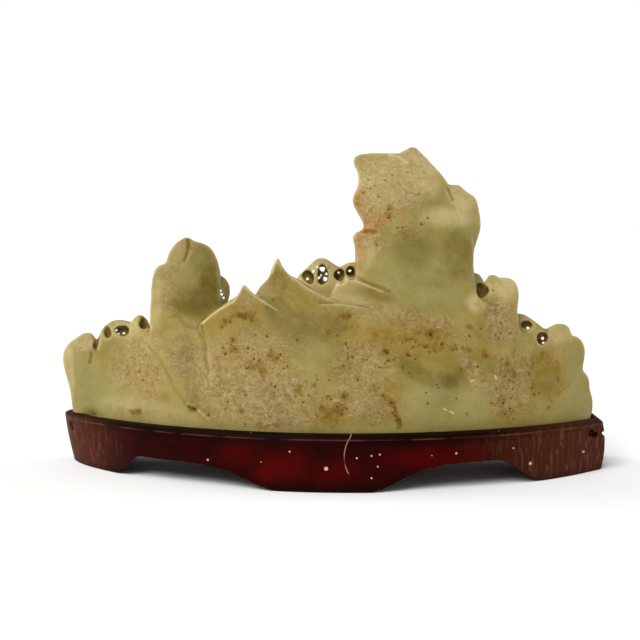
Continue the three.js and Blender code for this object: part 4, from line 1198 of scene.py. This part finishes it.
def stone_material(sizes):
    """Soapstone: pale green and beige, with lilac grain, rust veins, dark pits and a satin polish, painted highlights
    on crests, proud edges and pale areas, and painted shade in hollows, bores and olive areas.
    """
    shader = Shader("soapstone_polished")
    where = shader.warped(GRAIN_SHIFT)
    ragged = shader.warped(RAGGED_SHIFT)
    fine = shader.noise(1.0, 3, 0.7)
    grain = shader.noise(2.6, 4, 0.68, where)
    blotch = shader.noise(7, 4, 0.6, where)
    cloud = shader.noise(24, 4, 0.6, distortion=0.4)
    clot = shader.noise(4.2, 5, 0.68, where)
    green, olive, beige, cream, lilac, ochre, rust, stain, speckled = (shader.attribute(name) for name in COLOUR_AREAS)
    granular = (beige + lilac * 0.6 + speckled * 0.4).or_less(1.0)

    colour = shader.mix(cloud.ramp(0.35, 0.65), tuple(sizes.base_dark), tuple(sizes.base_light))
    colour = shader.mix(green * (blotch.ramp(0.2, 0.6) * 0.4 + 0.6), colour, tuple(sizes.green))
    colour = shader.mix(beige * (blotch * 0.6 + grain * 0.6).ramp(0.42, 0.68), colour, tuple(sizes.beige))
    colour = shader.mix(lilac * grain.ramp(0.6, 0.38) * 0.9, colour, tuple(sizes.lilac))
    colour = shader.mix(ochre * (blotch.ramp(0.35, 0.6) * 0.6 + 0.35), colour, tuple(sizes.ochre))
    # Olive areas, partly painted shade on the left peak's right side
    colour = shader.mix(olive * (blotch.ramp(0.7, 0.3) * 0.3 + 0.65), colour, tuple(sizes.olive))
    # Cream areas, partly painted highlight on the boulder's left edge and the tall peak's top
    colour = shader.mix(cream * (blotch.ramp(0.3, 0.6) * 0.4 + 0.5), colour, tuple(sizes.cream))
    level = (clot - 0.5) * 3.2 + rust * 0.85 + (fine - 0.5) * 1.0
    veined = rust.ramp(0.0, 0.25)
    colour = shader.mix(veined * level.ramp(0.25, 0.6) * 0.95, colour, tuple(sizes.ochre_vein))
    colour = shader.mix(veined * level.ramp(0.68, 0.95) * 0.95, colour, tuple(sizes.rust))
    colour = shader.mix(stain * (grain + fine * 0.3).ramp(0.4, 0.75), colour, tuple(sizes.red_stain))
    clumps = (clot * 0.7 + grain * 0.3).ramp(0.54, 0.62) * (speckled * 0.5 + granular * 0.12 + 0.05)
    colour = shader.mix(clumps, colour, tuple(sizes.ochre_vein))

    speck = (fine * 0.6 + grain * 0.4).ramp(0.36, 0.64)
    darker = shader.mix(1.0, colour, tuple(sizes.grain_dark), "MULTIPLY")
    paler = shader.mix(0.45, colour, tuple(sizes.grain_pale))
    grained = shader.mix(speck, darker, paler)
    colour = shader.mix(granular * (blotch.ramp(0.35, 0.6) * 0.3 + 0.2) + 0.14, colour, grained)
    flecks, fleck_shade = shader.spots(1.9, 0.3, ragged)
    flecks = flecks * fleck_shade.ramp(0.55, 0.75) * (granular * 0.5)
    turned = {"Vector": ragged, "Rotation": (0, math.radians(38), 0), "Scale": (0.28, 1, 1.6)}
    dashes = shader.noise(1.6, 2, 0.5, shader.node("ShaderNodeMapping", None, turned).outputs[0])
    dashes = dashes.ramp(0.62, 0.74) * (granular * 0.5 + 0.08)
    colour = shader.mix(flecks.or_more(dashes), colour, tuple(sizes.grain_pale))

    pepper, pepper_shade = shader.spots(1.3, 0.33, ragged)
    small, small_shade = shader.spots(3.4, 0.17, ragged)
    pepper = pepper * pepper_shade.ramp(0.6, 0.8) * (speckled * 0.6 + 0.08)
    small = small * small_shade.ramp(0.6, 0.75) * (speckled * 0.9 + 0.05)
    back = shader.axes()[1].ramp(6, 0)
    broken = fine.ramp(0.34, 0.56) * 0.45 + 0.55
    dark_dots = shader.dots(ragged, DARK_PITS)
    rust_dots = shader.dots(ragged, RUST_PITS)
    pits = dark_dots.ramp(1.5, 0.5) * back * broken
    rusty = rust_dots.ramp(1.6, 0.5) * back * broken
    halo = dark_dots.or_less(rust_dots).ramp(3.6, 1.0) * back * (clot.ramp(0.4, 0.6) * 0.5)
    colour = shader.mix(halo, colour, tuple(sizes.ochre_vein))
    colour = shader.mix(pepper.or_more(rusty * 0.85), colour, tuple(sizes.rust_pit))
    colour = shader.mix(small.or_more(pits * 0.9), colour, tuple(sizes.pit))
    wear_and_highlight = shader.attribute("worn_edge")
    hollow = shader.attribute("hollow")
    crest = shader.attribute("crest")
    bored = shader.attribute("bored")
    # Painted shade: the hollows and creases are darkened where shade falls
    colour = shader.mix(hollow * 0.45, colour, tuple(sizes.hollow_shade))
    # Painted shade: the inside of each bore gets a darker colour for the shade inside it
    colour = shader.mix(bored, colour, tuple(sizes.bored))
    scratched = None
    for scratch in SCRATCHES:
        one = shader.patch(shader.place, scratch)
        scratched = one if scratched is None else scratched.or_more(one)
    # Painted highlight: proud edges and crests are made paler where they catch the light; the scratches are real pale
    # marks
    pale = (wear_and_highlight * 0.25 + crest * 0.5).or_more(scratched * back * 0.8)
    colour = shader.mix(pale.or_less(0.8), colour, tuple(sizes.pale_edge))

    marks = small.or_more(pits)
    roughness = 0.4 + granular * 0.12 + fine * 0.1 - wear_and_highlight * 0.05 + marks * 0.25
    height = fine * (granular * 0.5 + 0.1) + grain * (granular * 0.6 + 0.15) - marks * 1.2 + cloud * 0.6
    values = {"Base Color": colour, "Roughness": roughness, "Specular IOR Level": 0.07}
    return shader.finish(values, height, 0.14, 0.8)


# Painted light: red glow in the middle of the stand's back, where the flared lower wall catches the light
GLOWS = [
    Spot((-24, 12), (12, 7)), Spot((-44, 17), (9, 5), 0, 0.5), Spot((2, 10), (12, 6), 0, 0.5),
    Spot((45, 16), (16, 5), 0, 0.8), Spot((24, 14), (9, 6), 0, 0.35), Spot((66, 16), (9, 4), 0, 0.5),
]
# Cream flecks of dust on the back of the stand: middle (x, z) and radius in mm
DUST = [
    (-60, 13, 0.5), (-2.6, 11.4, 0.9), (98, 9.6, 0.75), (12, 16.4, 0.42), (19, 17.4, 0.42), (23, 18, 0.42),
    (19, 7, 0.42), (22, 12.4, 0.38), (60, 17.4, 0.5), (89, 18, 0.4), (-20, 19, 0.4), (128, 11.6, 0.6),
]
SCRATCH_CENTRE = (22, 17)
SCRATCH_RADIUS = 16


def wood_material(sizes):
    """Dark red-brown stained wood with lighter ends that are partly worn and partly painted light, a painted red glow
    in the middle, painted shade and a painted highlight line along the rim, dust and one fine scratch.
    """
    shader = Shader("stand_wood_stained")
    x, y, z = shader.axes()
    stretched = shader.node("ShaderNodeMapping", None, {"Vector": shader.place, "Scale": (1, 1, 0.16)}).outputs[0]
    lengthwise = shader.node("ShaderNodeMapping", None, {"Vector": shader.place, "Scale": (0.12, 1, 1)}).outputs[0]
    wear = shader.noise(1.6, 4, 0.65, stretched)
    broad = shader.noise(14, 4, 0.6)
    figure = shader.noise(3.0, 4, 0.6, lengthwise, distortion=0.6)
    fine = shader.noise(0.8, 2, 0.6)
    left_end = x.ramp(-96, -134)
    right_end = x.ramp(52, 118)
    ends = left_end.or_more(right_end * 0.9)
    glow_place = shader.warped([(14, 5)])
    glow = shader.patch(glow_place, GLOWS[0], 0.7)
    for spot in GLOWS[1:]:
        glow = glow.or_more(shader.patch(glow_place, spot, 0.7))

    colour = shader.mix(broad.ramp(0.35, 0.65), tuple(sizes.wood_dark), tuple(sizes.wood_mid))
    colour = shader.mix(figure.ramp(0.42, 0.66) * 0.6, colour, tuple(sizes.wood_deep))
    # Lighter ends: partly worn through the stain and partly painted light where the ends turn towards the side lights
    colour = shader.mix(ends * (0.55 + wear * 0.6).or_less(1.0), colour, tuple(sizes.wood_end))
    colour = shader.mix(ends * wear.ramp(0.5, 0.72) * 0.6, colour, tuple(sizes.wood_worn_and_highlight))
    # Painted light: red glow where the flared lower wall faces up into the light
    colour = shader.mix(glow * (0.4 + broad * 0.7), colour, tuple(sizes.wood_red))
    rim_shade = z.ramp(20.5, 24.5) * (1 - ends * 0.6) * 0.6
    colour = shader.mix(rim_shade, colour, tuple(sizes.wood_deep))
    # Darker towards the bottom edge
    colour = shader.mix(z.ramp(6, 0.5) * 0.4, colour, tuple(sizes.wood_deep))
    # Painted highlight: a thin pale line along the rim's outer top edge
    rim_line = z.ramp(24.2, 24.6) * z.ramp(25.2, 24.8) * (broad.ramp(0.35, 0.6) * 0.35)
    colour = shader.mix(rim_line, colour, tuple(sizes.wood_worn_and_highlight))
    # Painted shadow: the top of the rim is darkened under the stone, less at the ends
    colour = shader.mix(z.ramp(25.2, 26.0) * (1 - ends * 0.7) * 0.9, colour, tuple(sizes.wood_deep))

    flecks, fleck_shade = shader.spots(5.5, 0.075)
    flecks = flecks * fleck_shade.ramp(0.66, 0.7)
    for fleck_x, fleck_z, radius in DUST:
        fleck = shader.patch(shader.place, Spot((fleck_x, fleck_z), (radius, radius)), 0.25)
        flecks = flecks.or_more(fleck)
    values = {
        "Vector": shader.place,
        "Location": (SCRATCH_CENTRE[0] * MM, 0, SCRATCH_CENTRE[1] * MM), "Scale": (MM, 10, MM),
    }
    local = shader.node("ShaderNodeMapping", {"vector_type": "TEXTURE"}, values).outputs[0]
    ring = Value(shader, shader.node("ShaderNodeVectorMath", {"operation": "LENGTH"}, {0: local}).outputs["Value"])
    off_ring = (ring - SCRATCH_RADIUS).or_more(SCRATCH_RADIUS - ring)
    scratch = off_ring.ramp(0.32, 0.1) * x.ramp(12, 10) * z.ramp(8.4, 9.6) * wear.ramp(0.3, 0.5)
    back = y.ramp(5, 0)
    marks = (flecks * 0.9).or_more(scratch * 0.4) * back
    colour = shader.mix(marks, colour, tuple(sizes.dust))

    roughness = 0.34 + ends * 0.14 + wear * 0.12 + marks * 0.3
    height = wear * (0.3 + ends * 0.9) + fine * 0.2 + figure * 0.4
    values = {"Base Color": colour, "Roughness": roughness, "Specular IOR Level": 0.03}
    return shader.finish(values, height, 0.05, 0.5)


def floor_material(colour):
    """Plain pale floor."""
    shader = Shader("studio_floor")
    grain = shader.noise(4, 2)
    values = {"Base Color": tuple(colour), "Roughness": grain * 0.1 + 0.6, "Specular IOR Level": 0.1}
    return shader.finish(values)


def colour_property(name, description, red, green, blue):
    """Colour that a user may change, from the values that a screen shows."""
    return bpy.props.FloatVectorProperty(
        name=name, description=description, subtype="COLOR", size=3, min=0, max=1, default=tint(red, green, blue),
    )


class CarvingStone(bpy.types.PropertyGroup):
    """Fineness and colours of the stone."""

    voxel: bpy.props.FloatProperty(
        name="Fineness", description="Size of the skin's faces in millimetres", default=STONE_VOXEL, min=0.4, max=3,
    )
    polish: bpy.props.IntProperty(
        name="Polish", description="Rounds of smoothing that round the carved edges", default=5, min=0, max=30,
    )
    base_light: colour_property("Base, light", "Lighter base colour", 150, 134, 72)
    base_dark: colour_property("Base, dark", "Darker base colour", 132, 115, 48)
    green: colour_property("Green", "Pale green areas", 147, 137, 80)
    olive: colour_property("Olive", "Shaded olive areas", 102, 86, 26)
    beige: colour_property("Beige", "Granular areas", 158, 134, 88)
    lilac: colour_property("Lilac", "Lilac-grey grain", 140, 115, 78)
    # Colour of the palest areas and of the painted highlights
    cream: colour_property("Cream", "Palest areas", 194, 175, 124)
    ochre: colour_property("Ochre", "Yellow-brown areas", 143, 115, 42)
    ochre_vein: colour_property("Ochre veins", "Yellow-brown veins", 132, 102, 26)
    rust: colour_property("Rust", "Darkest parts of the veins", 90, 62, 8)
    red_stain: colour_property("Red stain", "Red-orange stain at the notch", 176, 98, 44)
    grain_dark: colour_property("Dark grain", "Shade that the dark grain is multiplied by", 186, 174, 146)
    grain_pale: colour_property("Pale grain", "Pale grains and flecks", 196, 175, 126)
    pit: colour_property("Pits", "Dark mineral pits", 50, 35, 8)
    # Colour of the painted shade inside the bores
    bored: colour_property("Bores", "Painted shade inside the bores", 122, 102, 44)
    rust_pit: colour_property("Rust pits", "Rusty mineral pits", 88, 60, 10)
    # Colour of the painted shade in the hollows
    hollow_shade: colour_property("Hollow shade", "Painted shade in the hollows", 78, 60, 16)
    # Colour of the painted highlight on crests and edges, and of the scratches
    pale_edge: colour_property("Pale edges", "Painted highlight on crests and proud edges, and pale scratches", 212, 195, 141)


class CarvingStand(bpy.types.PropertyGroup):
    """Edges and colours of the stand."""

    rim_rounding: bpy.props.FloatProperty(
        name="Rim rounding", description="Rounding of the rim in millimetres", default=0.8, min=0, max=2,
    )
    wood_mid: colour_property("Wood", "Middle of the stand", 46, 2, 2)
    wood_dark: colour_property("Wood, dark", "Darker clouds", 35, 3, 2)
    wood_deep: colour_property("Wood, deep", "Darkest figure and painted shade", 18, 4, 3)
    wood_end: colour_property("Wood, ends", "Lighter ends", 78, 38, 20)
    wood_worn_and_highlight: colour_property("Wood, worn and highlight", "Worn streaks and the painted rim highlight", 122, 80, 61)
    wood_red: colour_property("Wood, glow", "Red glow in the middle", 81, 3, 2)
    dust: colour_property("Dust", "Dust and scratches", 214, 186, 150)


class CarvingStage(bpy.types.PropertyGroup):
    """Studio round the carving."""

    floor_size: bpy.props.FloatProperty(
        name="Floor size", description="Side of the floor", default=8, min=1, subtype="DISTANCE", unit="LENGTH",
    )
    camera_distance: bpy.props.FloatProperty(
        name="Camera distance", description="From the camera to the middle of the carving", default=0.585,
        min=0.2, subtype="DISTANCE", unit="LENGTH",
    )
    camera_pitch: bpy.props.FloatProperty(
        name="Camera pitch", description="How far the camera looks down", default=math.radians(6),
        subtype="ANGLE", unit="ROTATION",
    )
    key_strength: bpy.props.FloatProperty(
        name="Key light", description="Strength of the wide key light", default=2.4, min=0,
    )
    side_strength: bpy.props.FloatProperty(
        name="Side lights", description="Strength of the light from the left; the right has less", default=2.2, min=0,
    )
    key_spread: bpy.props.FloatProperty(
        name="Key spread", description="Angle that the key light spans", default=math.radians(40),
        subtype="ANGLE", unit="ROTATION",
    )
    room_light: bpy.props.FloatProperty(name="Room light", description="Light from all round", default=0.33, min=0)
    floor_colour: colour_property("Floor", "Colour of the floor", 252, 252, 251)


class CARVING_OT_stone(bpy.types.Operator):
    """Carve and polish the stone"""

    bl_idname = "carving.stone"
    bl_label = "Soapstone carving"

    def execute(self, context):
        sizes = context.scene.carving_stone
        bm = bmesh.new()
        add_massif(bm)
        for crag in CRAGS:
            add_crag(bm, crag)
        for crag in FRONT_CRAGS:
            add_front_crag(bm, crag)
        for pine in PINES:
            add_pine(bm, pine)
        add_canopy(bm, SIDE_TREE)
        stone = new_piece("carved_soapstone", bm)
        remesh(stone, sizes.voxel)

        for apart in (BORES[::2], BORES[1::2]):
            bm = bmesh.new()
            for bore in apart:
                add_bore(bm, bore)
            cut_away(stone, new_piece("bores", bm))
        bm = bmesh.new()
        lip = STAND_HEIGHT + SEAT_GAP
        slab = bmesh.ops.create_cube(bm, size=1)
        size = Matrix.Diagonal((STAND_LENGTH * 1.4, STAND_DEPTH * 1.6, lip * 2, 1))
        bmesh.ops.transform(bm, matrix=size, verts=slab["verts"])
        slab = new_piece("slab", bm)
        bm = bmesh.new()
        add_plan_block(bm, [stone_level(-lip * 2, 0), stone_level(lip * 2, 0)])
        cut_away(slab, new_piece("foot", bm))
        cut_away(stone, slab)
        remesh(stone, sizes.voxel)
        smooth(stone, sizes.polish)
        melt_back(stone)
        carve_relief(stone)
        smooth(stone, 1, 0.4)

        bm = bmesh.new()
        for hole in DAYLIGHT_HOLES:
            add_daylight_hole(bm, hole)
        cut_away(stone, new_piece("daylight_holes", bm))
        triangles = sum(len(face.vertices) - 2 for face in stone.data.polygons)
        if triangles > STONE_TRIANGLES:
            thin = stone.modifiers.new("Thin", "DECIMATE")
            thin.ratio = STONE_TRIANGLES / triangles
            apply_modifiers(stone)
        print("tri", triangles, len(stone.data.polygons))
        store_edges_and_shading(stone.data)
        store_areas(stone.data)
        stone.data.transform(Matrix.Scale(MM, 4))
        stone.data.polygons.foreach_set("use_smooth", [True] * len(stone.data.polygons))
        stone.data.materials.clear()
        stone.data.materials.append(stone_material(sizes))
        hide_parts("mountain_carving")
        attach(stone, "root")
        return {"FINISHED"}


def arch_cutter(arch):
    """Cutter through both aprons under one arch."""
    bm = bmesh.new()
    rise = arch.shoulder - arch.outer
    fall = arch.inner - arch.crown

    def bezier(start, first, second, end, steps):
        points = []
        for i in range(steps + 1):
            t = i / steps
            parts = ((1 - t) ** 3, 3 * t * (1 - t) ** 2, 3 * t * t * (1 - t), t**3)
            points.append(sum((Vector(p) * part for p, part in zip((start, first, second, end), parts)), Vector((0, 0))))
        return points

    outline = [Vector((arch.outer, -CLEARANCE))]
    outline += bezier(
        (arch.outer, 0), (arch.outer + rise * 0.55, 0.6),
        (arch.shoulder - rise * 0.35, arch.height), (arch.shoulder, arch.height), 18,
    )
    outline += bezier(
        (arch.crown, arch.height), (arch.crown + fall * 0.62, arch.height),
        (arch.inner - fall * 0.3, 0.4), (arch.inner, 0), 30,
    )
    outline.append(Vector((arch.inner, -CLEARANCE)))
    depth = STAND_DEPTH * 0.7
    face = bm.faces.new([bm.verts.new((point.x, -depth, point.y)) for point in outline])
    wall = bmesh.ops.extrude_face_region(bm, geom=[face])
    moved = [item for item in wall["geom"] if isinstance(item, bmesh.types.BMVert)]
    bmesh.ops.translate(bm, vec=(0, depth * 2, 0), verts=moved)
    bmesh.ops.recalc_face_normals(bm, faces=bm.faces[:])
    return new_piece("arch", bm)


def eye_cutter(x, lower, radius):
    """Cutter of one small round eye of a scroll."""
    bm = bmesh.new()
    turn = math.asin((x - BACK_ARC_X) / BACK_ARC_RIM_RADIUS)
    matrix = Matrix.Translation((x, back_edge(x, 0, 0), SCROLL_EYE_HEIGHT - lower))
    matrix @= Matrix.Rotation(turn, 4, "Z") @ Matrix.Rotation(math.radians(90), 4, "X")
    bmesh.ops.create_cone(
        bm, cap_ends=True, segments=24, radius1=radius, radius2=radius, depth=SCROLL_EYE_DEPTH * 2, matrix=matrix,
    )
    return new_piece("scroll_eye", bm)


def notch_cutter():
    """Cutter of the notch in the right end."""
    bm = bmesh.new()
    notch = SCROLL_NOTCH
    matrix = Matrix.Translation((notch["x"], back_edge(notch["x"], 0, 0), notch["z"]))
    matrix @= Matrix.Rotation(math.radians(90), 4, "X") @ Matrix.Diagonal((notch["depth"], notch["height"] / 2, 1, 1))
    bmesh.ops.create_cone(
        bm, cap_ends=True, segments=20, radius1=1, radius2=1, depth=notch["length"], matrix=matrix,
    )
    return new_piece("notch", bm)


class CARVING_OT_stand(bpy.types.Operator):
    """Cut and finish the wood stand"""

    bl_idname = "carving.stand"
    bl_label = "Wood stand"

    def execute(self, context):
        sizes = context.scene.carving_stand
        rounding = sizes.rim_rounding
        bm = bmesh.new()
        levels = [(0, 0.5), (0.5, 0), (6, 0), (11, 0), (16, 0), (21, 0), (STAND_HEIGHT - rounding, 0)]
        levels += [(STAND_HEIGHT - rounding * 0.35, rounding * 0.35), (STAND_HEIGHT, rounding)]
        add_plan_block(bm, [stand_level(z, inset) for z, inset in levels])
        stand = new_piece("stained_stand", bm)
        bm = bmesh.new()
        add_plan_block(bm, [stone_level(RECESS_FLOOR, SEAT_GAP), stone_level(STAND_HEIGHT + CLEARANCE, SEAT_GAP)])
        cut_away(stand, new_piece("recess", bm))
        bm = bmesh.new()
        ends = (-STAND_LENGTH / 2 + LEFT_END_LEAN + APRON_THICKNESS, STAND_LENGTH / 2 - APRON_THICKNESS - 2, 1)
        add_plan_block(bm, [(-CLEARANCE, *ends, APRON_THICKNESS), (UNDERSIDE_HEIGHT, *ends, APRON_THICKNESS)])
        cut_away(stand, new_piece("underside", bm))
        for cutter in (arch_cutter(LEFT_ARCH), arch_cutter(RIGHT_ARCH), notch_cutter()):
            cut_away(stand, cutter)
        for x, lower, radius in SCROLL_EYES:
            cut_away(stand, eye_cutter(x, lower, radius))
        stand.data.transform(Matrix.Scale(MM, 4))
        stand.data.polygons.foreach_set("use_smooth", [True] * len(stand.data.polygons))
        stand.data.set_sharp_from_angle(angle=math.radians(38))
        stand.data.materials.clear()
        stand.data.materials.append(wood_material(sizes))
        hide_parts("wood_stand")
        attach(stand, "root")
        return {"FINISHED"}


def add_light(name, strength, spread, aim):
    """Adds a wide soft light that shines along a direction."""
    light = bpy.data.lights.new(name, "SUN")
    light.energy = strength
    light.angle = spread
    lamp = bpy.data.objects.new(name, light)
    lamp.rotation_euler = Vector(aim).to_track_quat("-Z", "Y").to_euler()
    bpy.context.collection.objects.link(lamp)


class CARVING_OT_stage(bpy.types.Operator):
    """Set up the floor, the lights and the camera"""

    bl_idname = "carving.stage"
    bl_label = "Studio"

    def execute(self, context):
        sizes = context.scene.carving_stage
        bm = bmesh.new()
        bmesh.ops.create_grid(bm, x_segments=4, y_segments=4, size=sizes.floor_size / 2)
        floor = new_piece("studio_floor", bm)
        floor.data.materials.append(floor_material(sizes.floor_colour))

        world = bpy.data.worlds.new("studio")
        world.use_nodes = True
        nodes, links = world.node_tree.nodes, world.node_tree.links
        nodes.clear()
        output = nodes.new("ShaderNodeOutputWorld")
        room = nodes.new("ShaderNodeBackground")
        room.inputs["Strength"].default_value = sizes.room_light
        seen = nodes.new("ShaderNodeBackground")
        seen.inputs["Strength"].default_value = 1.0
        for background in (room, seen):
            background.inputs["Color"].default_value = (1, 1, 1, 1)
        ray = nodes.new("ShaderNodeLightPath")
        either = nodes.new("ShaderNodeMixShader")
        links.new(ray.outputs["Is Camera Ray"], either.inputs[0])
        links.new(room.outputs[0], either.inputs[1])
        links.new(seen.outputs[0], either.inputs[2])
        links.new(either.outputs[0], output.inputs[0])
        context.scene.world = world

        add_light("key_light", sizes.key_strength, sizes.key_spread, (0.55, 0.8, -1.1))
        add_light("left_light", sizes.side_strength, SIDE_SPREAD, (1, -0.35, -0.25))
        add_light("right_light", sizes.side_strength * 0.6, SIDE_SPREAD, (-1, -0.3, -0.25))

        camera = bpy.data.cameras.new("camera")
        camera.sensor_width = 36
        camera.lens = 36 * FOCAL_PIXELS / IMAGE_PIXELS
        shot = bpy.data.objects.new("camera", camera)
        pitch = sizes.camera_pitch
        distance = sizes.camera_distance
        shot.location = (
            AIM_POINT[0] * MM, -distance * math.cos(pitch), AIM_POINT[1] * MM + distance * math.sin(pitch),
        )
        shot.rotation_euler = (math.pi / 2 - pitch, 0, 0)
        context.collection.objects.link(shot)
        context.scene.camera = shot
        context.scene.view_settings.view_transform = "Standard"
        return {"FINISHED"}


SIDE_SPREAD = math.radians(35)
IMAGE_PIXELS = 640
FOCAL_PIXELS = 1155
AIM_POINT = (-5.5, 78)


class CARVING_PT_panel(bpy.types.Panel):
    """Lists the pieces of the carving"""

    bl_label = "Mountain carving"
    bl_idname = "CARVING_PT_panel"
    bl_space_type = "VIEW_3D"
    bl_region_type = "UI"
    bl_category = "Carving"

    def draw(self, context):
        for group, operator in GROUPS:
            box = self.layout.box()
            box.operator(operator)
            sizes = getattr(context.scene, group)
            for name in sizes.bl_rna.properties.keys():
                if name not in {"rna_type", "name"}:
                    box.prop(sizes, name)


GROUPS = [("carving_stone", "carving.stone"), ("carving_stand", "carving.stand"), ("carving_stage", "carving.stage")]
CLASSES = [
    CarvingStone, CarvingStand, CarvingStage, CARVING_OT_stone, CARVING_OT_stand, CARVING_OT_stage, CARVING_PT_panel,
]


def register():
    """Adds the classes and their settings."""
    for item in CLASSES:
        bpy.utils.register_class(item)
    bpy.types.Scene.carving_stone = bpy.props.PointerProperty(type=CarvingStone)
    bpy.types.Scene.carving_stand = bpy.props.PointerProperty(type=CarvingStand)
    bpy.types.Scene.carving_stage = bpy.props.PointerProperty(type=CarvingStage)


def unregister():
    """Removes the classes and their settings."""
    for group, _ in GROUPS:
        delattr(bpy.types.Scene, group)
    for item in reversed(CLASSES):
        bpy.utils.unregister_class(item)


def main():
    """Makes every piece and the studio."""
    register()
    bpy.ops.carving.stone()
    bpy.ops.carving.stand()
    bpy.ops.carving.stage()
    bpy.context.view_layer.update()


if __name__ == "__main__":
    main()
